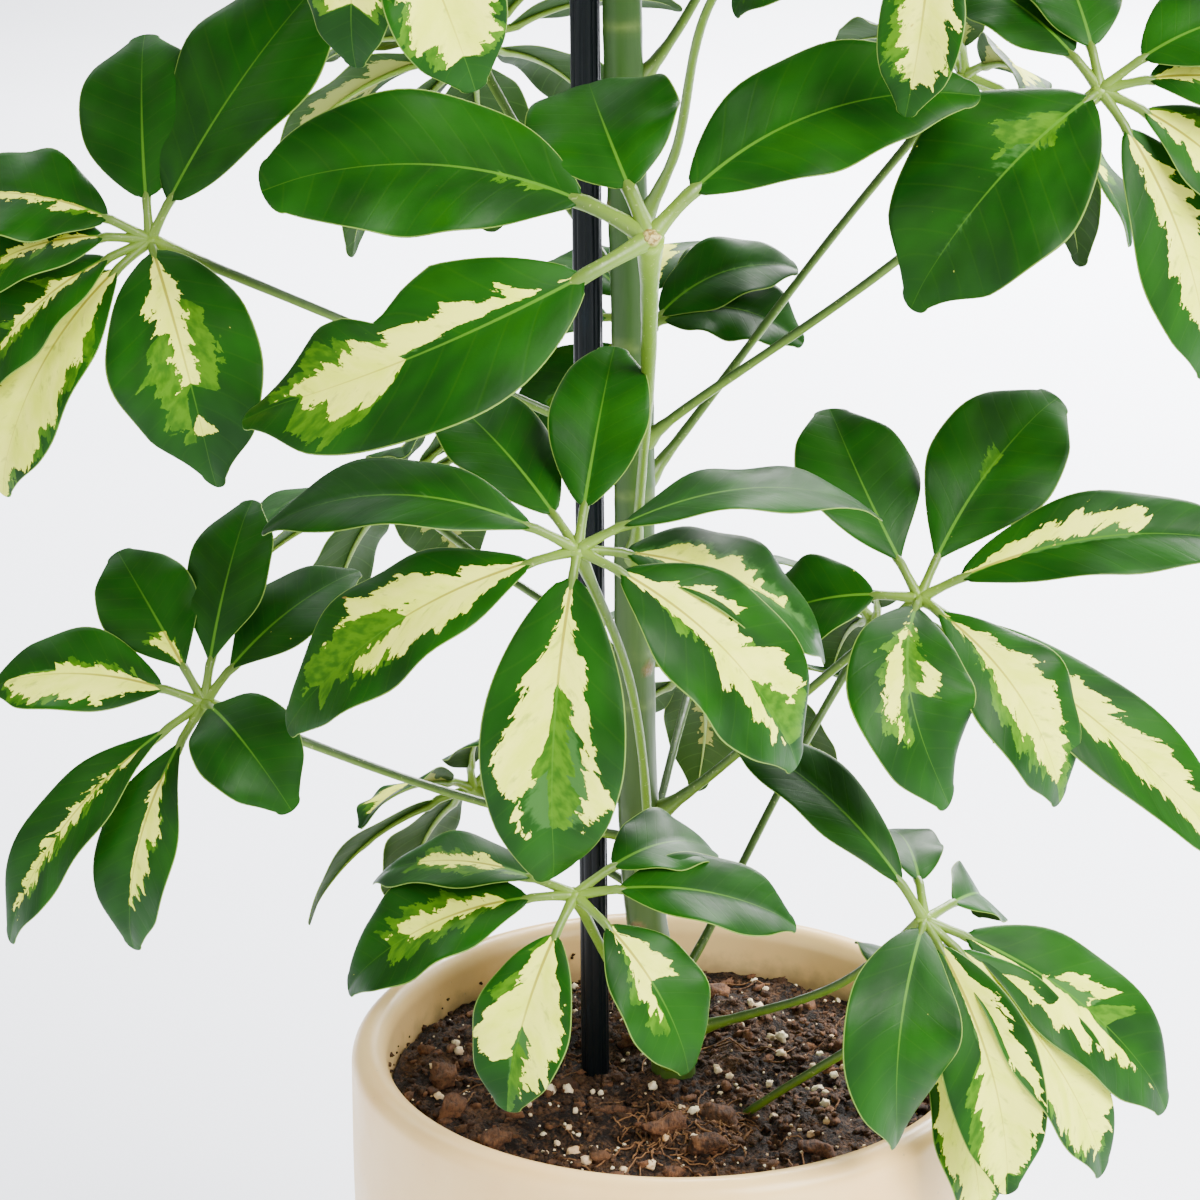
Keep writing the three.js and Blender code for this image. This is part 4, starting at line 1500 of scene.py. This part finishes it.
class LeafMaker:
    """Builds compound leaves: fine blades, tapering stalks and knobbly hubs in one piece each."""

    def __init__(self, blade: BladeShape, stalk: StalkShape, rule: MarkRule) -> None:
        """Keeps what all leaves share and makes their two finishes, in the order of LeafFinish."""
        self.blade, self.stalk, self.rule = blade, stalk, rule
        self.materials = [BladeFinish().material(), StalkFinish().material()]

    def _blade(self, draft: Draft, rib: Midrib, width: float, coat: Marks, seed: int, draw: Draw) -> None:
        """Adds a blade: a thin skin, folded along its midrib, with wavy edges and slanting veins.

        Args:
            draft: what it is added to.
            rib: its midrib.
            width: its greatest width.
            coat: its marks and the form of its ends.
            seed: sets its patterns apart from those of other blades.
            draw: random numbers.
        """
        s = self.blade
        waves = [(1.6 + 1.2 * draw(), 2 * math.pi * draw()) for _ in range(2)]
        valley = s.valley * (0.75 + 0.6 * draw())
        columns = np.linspace(1, -1, 2 * s.columns + 1)
        columns = np.sign(columns) * np.abs(columns) ** s.crowding
        across = np.concatenate([columns, [-1.0], columns[::-1], [1.0]])[None, :]
        face_side = np.repeat((1.0, 0.0, -1.0, 0.0), (len(columns), 1, len(columns), 1))[None, :]
        run = (1 - np.cos(np.pi * np.linspace(s.first_row, s.last_row, s.rows))) / 2
        run = np.broadcast_to(run[:, None], (s.rows, across.shape[1]))
        share = run + s.slant * np.abs(across) * (1 - run) * np.sqrt(run)

        lobes = (np.arange(10) + 0.5) / 10
        trims = [np.interp(share, lobes, [int(d) / 10 for d in digits])
                 for digits in (coat.trim_left, coat.trim_right)]
        half = width / 2 * s.outline(share, coat) * (1 - np.where(across > 0, *trims))
        off = np.abs(across)
        wave = sum(np.where(side * across > 0, np.sin(2 * math.pi * rate * share + phase), 0)
                   for (rate, phase), side in zip(waves, (1, -1)))
        swell = np.sin(np.pi * np.clip(share, 0, 1))
        lift = half * (valley * off - s.crown * off ** 2) + width / 2 * s.wave * wave * off ** 2.5 * swell
        thick = s.thickness / 2 * (1 - off ** 6) + s.edge_thickness / 2 * off ** 6
        outward = np.where(face_side == 0, s.edge_round, 0.0) * np.sign(across)
        point, normal, left = rib.at(rib.bare + (1 - rib.bare) * share)
        corners = (point + left * (across * half + outward)[..., None]
                   + normal * (lift + face_side * thick)[..., None])

        across, face_side = (np.broadcast_to(part, run.shape) for part in (across, face_side))
        seeds = np.full(run.shape, seed * 13.7 % 997)
        vein_mm = np.stack([run * (rib.length * (1 - rib.bare)), across * half, seeds], axis=-1)
        draft.skin(corners, LeafFinish.BLADE, tip=rib.at(np.array([1.0]))[0][0], vein_mm=vein_mm,
                   blade_share=np.stack([run, across, face_side], axis=-1),
                   marks_mm=self.rule.distances(coat, run, across, half, draw))

    def _stalklet(self, draft: Draft, rib: Midrib, girth: float) -> None:
        """Adds the bare stalklet and the raised rib that it turns into beneath the blade.

        Args:
            draft: what it is added to.
            rib: the midrib.
            girth: how much stouter than usual it is.
        """
        past = rib.bare * 1.3
        t = np.concatenate([np.linspace(0.0, past, 9)[:-1], np.linspace(past, 0.97, 22)])
        point, normal, _ = rib.at(t)
        on_blade = np.clip((t - rib.bare) / (1 - rib.bare), 0, 1)
        bare = np.clip(t / rib.bare, 0, 1)
        swelling = 0.7 * (1 - bare) ** 2
        radius = self.blade.stalk_radius * girth * (1 + swelling + 0.2 * bell(t / rib.bare - 1.1, 0.35))
        radius = radius * (1 - on_blade) ** 1.1 + 0.12
        sink = np.where(on_blade > 0, np.minimum(1, on_blade / 0.06), 0) * (radius - 0.05)
        centre = point - normal * sink[:, None]
        rings = tube_rings(centre, radius, self.blade.rib_sides)
        upward = np.sum((rings - centre[:, None, :]) * normal[:, None, :], axis=-1) / radius[:, None]
        paleness = np.broadcast_to((0.35 + 0.4 * np.maximum(1 - bare, on_blade))[:, None], upward.shape)
        draft.skin(rings, LeafFinish.STALK,
                   stalk=np.stack([upward, paleness, np.zeros_like(upward)], axis=-1))

    def _petiole(self, draft: Draft, leaf: Leaf) -> None:
        """Adds the leaf's stalk.

        Args:
            draft: what it is added to.
            leaf: the leaf.
        """
        s = self.stalk
        shares = np.linspace(0, 1, s.stations)
        path = spline_through([*leaf.stem, leaf.hub], shares)
        profile = [*s.trunk_end, *((share, radius * leaf.girth) for share, radius in s.hub_end)]
        radii = np.interp(shares, *zip(*profile)) * (1 + 0.02 * np.sin(shares * 60))
        outside = np.linalg.norm(path - path[0], axis=1) > s.inside_trunk
        path, radii, shares = path[outside], radii[outside], shares[outside]
        rings = tube_rings(path, radii, s.sides)
        upward = (rings - path[:, None, :])[..., 2] / radii[:, None]
        pale = np.maximum(np.exp(-shares / 0.09), smooth_step(shares, 0.9, 1.0))
        pale = np.broadcast_to(pale[:, None], upward.shape)
        draft.skin(rings, LeafFinish.STALK, stalk=np.stack([upward, pale, np.zeros_like(upward)], axis=-1))

    def _knob(self, draft: Draft, leaf: Leaf, hub: np.ndarray, face: np.ndarray) -> None:
        """Adds the knob that the stalklets grow from.

        Args:
            draft: what it is added to.
            leaf: the leaf; if it is scarred, its knob has a corky scar towards the front.
            hub: the knob's centre.
            face: the way the hub faces; the knob is flatter there.
        """
        s = self.stalk
        points, faces = ball(12, 18)
        phase = leaf.seed * 3.1
        dents = np.array([1 + 0.18 * noise.noise(Vector(p) * 2.2 + Vector((phase, 0, 0)))
                          for p in points])
        spread = s.knob_radius * math.sqrt(leaf.girth) * points * dents[:, None]
        high = points @ face
        spread -= face * (np.maximum(high, 0) * s.knob_flatness)[:, None]
        facing = unit(np.array(s.scar_faces))
        scar = smooth_step(points @ facing, 0.55, 0.75) if leaf.scarred else np.zeros(len(points))
        spread += facing * (s.scar_rise * scar)[:, None]
        draft.solid(spread + hub, faces, LeafFinish.STALK,
                    stalk=np.stack([high, np.full(len(points), 0.8), scar], axis=-1))

    def make(self, leaf: Leaf, slot: str = "variegated_leaf") -> bpy.types.Object:
        """Builds one compound leaf.

        Args:
            leaf: its form and marks.
            slot: the record's slot.

        Returns:
            The piece.
        """
        draft = Draft("vein_mm", "blade_share", "marks_mm", "stalk")
        hub, face = np.array(leaf.hub, float), unit(np.array(leaf.face, float))
        coat_draw = draw_from(leaf.seed + 400)
        self._petiole(draft, leaf)
        self._knob(draft, leaf, hub, face)
        for number, spec in enumerate(leaf.leaflets, 1):
            coat = spec.coat or self.rule.any_coat(coat_draw)
            seed = leaf.seed * 40 + number
            draw = draw_from(seed)
            rib = Midrib(hub, face, spec, self.blade, 1 + 2.2 * draw())
            self._blade(draft, rib, spec.width, coat, seed, draw)
            self._stalklet(draft, rib, leaf.girth)
        obj = draft.build(leaf.name.capitalize(), self.materials)
        return place(obj, slot, leaf.name)


@dataclass(frozen=True)
class FanRule:
    """Leaves by rule: leaflets fanned round the hub, the longest one opposite the stalk."""

    spread: float = 300
    droop: float = 30
    lift: float = -14
    shortest: float = 0.7
    slimness: float = 0.4
    arch: float = 0.12
    lean: float = 0.5
    exit_length: float = 15
    exit_rise: float = 0.14
    bend_at: float = 0.6
    bend_rise: float = 0.62
    past_stake: float = 8
    turn_change: float = 12
    length_change: float = 0.12
    droop_change: float = 10
    width_change: float = 0.16
    sway_change: float = 6
    roll_change: float = 24

    def stem(self, root: np.ndarray, hub: np.ndarray, outward: np.ndarray
             ) -> tuple[Triple, Triple, Triple]:
        """The stalk's route; on the stake's side it first leaves to the front or the back.

        Args:
            root: where it grows from.
            hub: where it ends.
            outward: the level direction from one to the other.

        Returns:
            The three points that come before the hub.
        """
        goes_past = outward[0] < -0.3
        leave = np.array((0, math.copysign(1, outward[1]), 0)) if goes_past else outward
        run = hub - root
        leaving = root + leave * self.exit_length + np.array((0, 0, run[2] * self.exit_rise))
        bend = root + run * np.array((self.bend_at, self.bend_at, self.bend_rise))
        if goes_past:
            bend = bend + leave * self.past_stake * np.array((0, 1, 0))
        return tuple(root), tuple(leaving), tuple(bend)

    def leaf(self, trunk: Trunk, name: str, height: float, at: Triple, count: int, longest: float,
             seed: int) -> Leaf:
        """A leaf with its leaflets fanned out.

        Args:
            trunk: what it grows on.
            name: its name.
            height: where it leaves the trunk.
            at: its hub.
            count: how many leaflets it has.
            longest: length of the longest one.
            seed: picks its small changes.

        Returns:
            The leaf.
        """
        draw = draw_from(seed)
        root, hub = trunk.centre(height), np.array(at, float)
        outward = unit((hub - root) * (1, 1, 0))
        face = unit(np.array((0, 0, 1)) + outward * self.lean)
        ahead = unit(outward - face * outward.dot(face))

        def vary(span: float) -> float:
            """A small random change."""
            return span * (draw() - 0.5)

        leaflets = []
        for k in range(count):
            turn = self.spread * (k / (count - 1) - 0.5) + vary(self.turn_change)
            forward = (1 + math.cos(math.radians(turn))) / 2
            length = longest * (self.shortest + (1 - self.shortest) * forward)
            length *= 1 + vary(self.length_change)
            droop = self.lift + (self.droop - self.lift) * forward + vary(self.droop_change)
            droop = math.radians(droop)
            tip = (turned(ahead, face, turn) * math.cos(droop) - face * math.sin(droop)) * length
            width = length * self.slimness * (1 + vary(self.width_change))
            leaflets.append(Leaflet(*tip, width, length * self.arch, vary(self.sway_change),
                                    vary(self.roll_change)))
        stem = self.stem(root, hub, outward)
        return Leaf(name, seed, stem, tuple(hub), tuple(face), tuple(leaflets))


SHAPED_LEAVES = (
    Leaf("leaf_front_middle", 31, ((-9, 0, 226), (-8, -22, 254), (-14, -58, 315)), (-28, -85, 361),
         (0, -0.5, 0.87), (
             Leaflet(-6, -10, -92, 39, 14, 2, 0, 6,
                 coat=marks("1355687600/1246876400/0002345500/0000024400/0002333300/0046750000", 0, 0.7, 0)),
             Leaflet(-80, 5, -53, 38, 13,
                 coat=marks("3555542000/2466765000/0000112300/0001345600/0044554400/0003455630", 0, 0.6)),
             Leaflet(-86, 15, 1, 28, 17, 0, 4, coat=GREEN),
             Leaflet(-38, 48, 30, 28, 6, coat=plain(0.5)),
             Leaflet(10, 40, 46, 27, 4, coat=plain(0.7)),
             Leaflet(83, 20, 4, 30, 16, 0, -22, coat=PLAIN),
             Leaflet(70, 28, -40, 34, 12, coat=marks("2443211000/1211100000/0/0/0/0", 0.4)),
             Leaflet(60, -3, -61, 43, 14,
                 coat=marks("2554377400/1111344310/0000001400/0/0000446770/0222321000")))),
    Leaf("leaf_front_low", 32, ((1, 0, 166), (-6, -15, 183), (-18, -44, 219)), (-29, -74, 256),
         (0, -0.45, 0.9), (
             Leaflet(-19, -20, -57, 28, 12,
                 coat=marks("3688888750/3458985000/0000023450/0/0000004555/6677000000", 0, 0.6)),
             Leaflet(32, -14, -48, 29, 11, coat=marks("2455000000/1233320000/0/0/0/0345443000")),
             Leaflet(63, 8, -13, 27, 9, coat=PLAIN),
             Leaflet(40, 30, 1, 25, 10, coat=PLAIN),
             Leaflet(-65, 0, -29, 33, 12, coat=marks("0111110000/0222221000/0/0/0344443000/0344444000")),
             Leaflet(-58, 22, -4, 26, 10, 0, 12, coat=marks("0122211000/0122221000")))),
    Leaf("leaf_right_middle", 33, ((-11, 0, 246), (10, -5, 264), (42, -24, 302)), (68, -40, 332),
         (0.15, -0.6, 0.78), (
             Leaflet(7, -34, -49, 36, 16, 12, 0, 3,
                 coat=marks("0234400000/1234543000/0122200000/0000122000/0233300000/0344554000", 0.1, 0.5)),
             Leaflet(40, -18, -55, 33, 17, 2, 0, 5,
                 coat=marks("2455665530/1122343310/0/0/0000005776/0245676500", 0, 0.4, 0.5)),
             Leaflet(98, -2, -84, 30, 10, 1, 0,
                 coat=marks("3344445566/1123344554/0/0/0/0002000450", 0.15, 0.3)),
             Leaflet(98, 12, 11, 28, 12, -4, 0, coat=marks("2456640000/0/0011210000/0/0/0", 0, 0.3)),
             Leaflet(42, 38, 49, 37, 4, -4, 0, coat=marks("////0000120000/0", 0, 0.6, 0.6)),
             Leaflet(-24, 38, 45, 36, 4, -3, 0, coat=plain(0.6, 0.6)),
             Leaflet(-46, 14, -14, 30, 8, coat=PLAIN))),
    Leaf("leaf_right_low", 34, ((1, 0, 178), (20, -14, 190), (48, -42, 214)), (70, -62, 243),
         (0.25, -0.6, 0.76), (
             Leaflet(-8, -26, -58, 34, 18, 9, 0, 2, coat=plain(0.3)),
             Leaflet(24, -22, -76, 28, 12, 0, 25, 7, coat=marks("5788888850/0000246887")),
             Leaflet(54, -8, -77, 30, 12, coat=marks("4677788620/6788888730")),
             Leaflet(74, 6, -63, 36, 9, -4, 0,
                 coat=marks("0005600000/3566554210/0001200000/0/0000060000/0", 0, 0.5)),
             Leaflet(-56, 34, 44, 22, 12, coat=PLAIN),
             Leaflet(-9, 45, 9, 22, 9, coat=PLAIN),
             Leaflet(19, 42, -16, 22, 10, coat=PLAIN))),
    Leaf("leaf_right_lowest", 35, ((1, 0, 140), (12, -16, 152), (34, -36, 178)), (66, -52, 208),
         (0.3, -0.5, 0.81), (
             Leaflet(22, -16, -60, 26, 10, coat=marks("6788888760/6788877750")),
             Leaflet(46, 10, -18, 25, 9, coat=marks("2344433100/3444332000")),
             Leaflet(24, 36, -2, 24, 8, coat=GREEN),
             Leaflet(-6, 40, 4, 22, 7, coat=GREEN))),
    Leaf("leaf_left_middle", 36, ((-10, 0, 243), (-18, -13, 249), (-70, -26, 269)), (-135, -36, 299),
         (-0.2, -0.55, 0.81), (
             Leaflet(-62, 6, 3, 29, 10, coat=marks("4777776630/0111110000")),
             Leaflet(-27, 28, 37, 29, 4,
                 coat=marks("3420000000/1100000000/0/0/4530000000/2100000000", 0, 0.5, 0.6)),
             Leaflet(12, 34, 51, 26, 4, coat=plain(0.5, 0.6)),
             Leaflet(43, 30, 30, 26, 7, coat=plain(0.3, 0.5)),
             Leaflet(27, -30, -21, 30, 12, 0, 0, 5, coat=plain(0.5)),
             Leaflet(-59, -8, -71, 25, 13,
                 coat=marks("0111111110/0011111110/0/0/0022222210/0", 0, 0.4, 0.6)),
             Leaflet(-22, -14, -71, 27, 12,
                 coat=marks("0233332100/0010000000/0/0/0344432100/0", 0, 0.4, 0.6)))),
    Leaf("leaf_left_upper", 37, ((-12, 0, 368), (-24, -14, 374), (-82, -26, 404)), (-145, -36, 434),
         (-0.2, -0.55, 0.81), (
             Leaflet(-58, 8, 9, 33, 10, coat=marks("1111111100/0")),
             Leaflet(-4, 36, 51, 36, 4, coat=PLAIN),
             Leaflet(52, 30, 72, 44, 6, coat=PLAIN),
             Leaflet(18, -22, -64, 42, 15, -3, 0, 3,
                 coat=marks("1221110200/2331110100/0/0/0045530000/0004555400", 0, 0.1)),
             Leaflet(-42, -16, -68, 34, 12, coat=marks("5678888866/4566677765")),
             Leaflet(-50, -10, -43, 28, 10, coat=marks("1111111000/0011110000")),
             Leaflet(-54, -2, -14, 28, 9, coat=marks("1222111000/0111110000")))),
    Leaf("leaf_front_upper", 38, ((-12, 0, 328), (-11, -18, 350), (-9, -50, 396)), (-9, -85, 446),
         (0, -0.4, 0.92), girth=1.65, scarred=True, leaflets=(
             Leaflet(-101, 5, 12, 41, 6, 12, -30, 18, coat=marks("////0110000000/0", 0.1, 0.9)),
             Leaflet(-109, 0, -48, 47, 8, -17, -28, 18,
                 coat=marks("0000055200/2334653210/0/0/0000067600/0000667640/0/0000252023", 0, 0.15)),
             Leaflet(-16, 46, 32, 42, 8, -3, -12, 14, coat=plain(0.7)),
             Leaflet(86, 14, 35, 36, 8, -10, 25, 14, coat=plain(0.4)))),
    Leaf("leaf_right_upper", 39, ((-12, 0, 364), (0, -6, 376), (56, -30, 424)), (111, -50, 478),
         (0.1, -0.6, 0.79), (
             # this blade's broad haze along its middle is a painted sheen
             Leaflet(-51, -16, -56, 50, 14, 0, 0, 3,
                 coat=marks("////0110000000/0352100000", 0.22, 0.15)),
             Leaflet(31, -12, -76, 32, 11, coat=marks("2444555300/3333443200")),
             Leaflet(52, 0, -47, 30, 10, coat=marks("4566665300/3455555300")),
             Leaflet(58, 8, -8, 28, 10, coat=marks("2333322100/2333322100")),
             Leaflet(52, 20, 14, 32, 12, coat=PLAIN),
             Leaflet(-36, 30, 26, 28, 6, coat=PLAIN),
             Leaflet(-12, 36, 34, 28, 6, coat=PLAIN))),
    Leaf("leaf_back_upper", 40, ((-12, 0, 322), (-14, 18, 334), (-12, 40, 364)), (-7, 52, 387),
         (0.05, -0.45, 0.89), (
             Leaflet(45, 6, 17, 28, 7, -3, 0, 4, coat=GREEN),
             Leaflet(46, -8, -3, 30, 9, -2, 0, 4, coat=GREEN),
             Leaflet(34, 34, 8, 26, 8, coat=GREEN),
             Leaflet(4, 52, 12, 28, 10, coat=marks("2344443100/1233332000")),
             Leaflet(-32, 42, 10, 27, 9, coat=GREEN),
             Leaflet(-60, 10, -12, 30, 11, coat=marks("3455554000/1223322000")),
             Leaflet(-40, -8, -38, 26, 9, coat=GREEN))),
    Leaf("leaf_crown_front_left", 41, ((-16, 1, 508), (-32, -24, 518), (-54, -64, 532)), (-75, -95, 541),
         (-0.2, -0.5, 0.84), (
             Leaflet(-8, -10, -47, 25, 8, coat=marks("5666650000/5555540000")),
             Leaflet(22, -10, -53, 30, 9, coat=marks("5777777400/6777775300")),
             Leaflet(-66, -6, -16, 30, 10, coat=marks("3445544200/3345553100")),
             Leaflet(-52, 26, 20, 30, 8, coat=GREEN),
             Leaflet(-4, 40, 34, 28, 6, coat=GREEN),
             Leaflet(60, 8, 6, 30, 10, coat=marks("2344443100/2233332000")))),
    Leaf("leaf_crown_front_right", 42, ((-14, 0, 424), (-2, -20, 453), (12, -58, 510)), (62, -75, 534),
         (0.15, -0.5, 0.85), (
             Leaflet(-6, -12, -56, 22, 9, 0, 20, coat=marks("5667777510/3444443200")),
             Leaflet(-50, 4, -32, 30, 10, coat=GREEN),
             Leaflet(66, -2, -8, 32, 11, coat=marks("3455443200/2344442000")),
             Leaflet(46, 30, 26, 30, 8, coat=GREEN),
             Leaflet(2, 42, 36, 28, 6, coat=GREEN),
             Leaflet(-44, 30, 24, 28, 8, coat=GREEN))),
)

# Name, height on the trunk, hub, number of leaflets, longest leaflet, seed.
FANNED_LEAVES = (
    ("leaf_back_right_upper", 350, (85, 48, 464), 7, 76, 11),
    ("leaf_back_left_upper", 392, (-60, 78, 466), 8, 80, 13),
    ("leaf_back_left_middle", 285, (-86, 80, 326), 7, 78, 14),
    ("leaf_back_left_low", 212, (-62, 56, 236), 7, 70, 15),
    ("leaf_back_middle", 232, (8, 88, 262), 7, 72, 16),
    ("leaf_back_right_middle", 186, (64, 66, 288), 7, 58, 17),
    ("leaf_crown_back", 500, (6, 92, 548), 8, 78, 21),
    ("leaf_crown_left", 520, (-112, -10, 574), 8, 74, 22),
    ("leaf_crown_right", 466, (66, 24, 596), 7, 72, 23),
    ("leaf_crown_back_left", 558, (-62, 62, 618), 7, 64, 24),
    ("leaf_crown_front", 576, (-24, -66, 630), 7, 60, 25),
    ("leaf_crown_top_right", 594, (26, 0, 672), 7, 48, 26),
    ("leaf_crown_top_left", 612, (-46, -2, 680), 6, 42, 27),
)

YOUNG_SHOOT = Leaf(
    "young_shoot", 43, ((-15.4, 3, 618), (-15, 2.6, 636), (-14, 1, 650)), (-13, -0.5, 664),
    (0, -0.3, 0.95), tuple(Leaflet(*row, coat=marks("2333332100/2333332100")) for row in (
        (-19, -14, 23, 9, 3), (12, -19, 25, 9, 3), (21, 9, 21, 8, 3), (-3, 21, 27, 9, 3),
        (-1, -3, 36, 7, 1))))


# ---------------------------------------------------------------- studio

class Lamp(Enum):
    """The studio's soft lights: place, what it looks at, size, power and colour."""

    KEY = ((1.5, -1.4, 1.9), (0, 0, 0.3), 1.5, 205, (1.0, 0.985, 0.95))
    FILL = ((-1.8, -1.5, 1.0), (0, 0, 0.3), 2.0, 33, (0.96, 0.98, 1.0))
    WINDOW = ((-0.75, 0.9, 1.7), (0, 0, 0.35), 0.9, 16, (0.93, 0.97, 1.0))
    BACKDROP = ((1.1, 2.2, 1.7), (1.0, 2.0, 0), 1.8, 520, (1.0, 1.0, 1.0))


@dataclass
class Studio:
    """Camera, floor, sky and lamps."""

    camera_at: Triple = (-0.022, -0.990, 0.655)
    camera_down: float = 18.8
    lens: float = 106.9
    sensor: float = 36
    floor_size: float = 9.0
    sky: Colour = (0.96, 0.98, 0.94)
    sky_strength: float = 0.37

    def camera(self) -> None:
        """The camera at the photograph's place and angle."""
        data = bpy.data.cameras.new("Camera")
        data.lens = self.lens
        data.sensor_width = self.sensor
        camera = bpy.data.objects.new("Camera", data)
        camera.location = self.camera_at
        camera.rotation_euler = (math.radians(90 - self.camera_down), 0, 0)
        bpy.context.scene.collection.objects.link(camera)
        bpy.context.scene.camera = camera

    def surroundings(self) -> None:
        """The floor, the sky and the lamps."""
        size = self.floor_size / 2
        mesh = bpy.data.meshes.new("Floor")
        mesh.from_pydata([(-size, -size, 0), (size, -size, 0), (size, size, 0), (-size, size, 0)], [],
                         [(0, 1, 2, 3)])
        mesh.materials.append(FloorFinish().material())
        floor = bpy.data.objects.new("Floor", mesh)
        bpy.context.scene.collection.objects.link(floor)

        world = bpy.data.worlds.new("Studio")
        bpy.context.scene.world = world
        world.use_nodes = True
        backdrop = world.node_tree.nodes["Background"]
        backdrop.inputs["Color"].default_value = (*self.sky, 1)
        backdrop.inputs["Strength"].default_value = self.sky_strength
        for lamp in Lamp:
            at, target, width, power, colour = lamp.value
            data = bpy.data.lights.new(lamp.name.capitalize(), "AREA")
            data.size, data.energy, data.color = width, power, colour
            light = bpy.data.objects.new(data.name, data)
            light.location = at
            light.rotation_euler = (Vector(target) - Vector(at)).to_track_quat("-Z", "Y").to_euler()
            bpy.context.scene.collection.objects.link(light)


def main() -> None:
    """Builds the plant and its studio in order."""
    logging.basicConfig(level=logging.INFO, format="%(message)s")
    studio = Studio()
    studio.camera()
    pot = Pot()
    trunk = Trunk()
    pot.build()
    Soil(pot).build()
    Stake().build()
    trunk.build()
    maker = LeafMaker(BladeShape(), StalkShape(), MarkRule())
    rule = FanRule()
    for leaf in (*SHAPED_LEAVES, *(rule.leaf(trunk, *row) for row in FANNED_LEAVES)):
        maker.make(leaf)
    maker.make(YOUNG_SHOOT, "young_leaf")
    studio.surroundings()


if __name__ == "__main__":
    main()
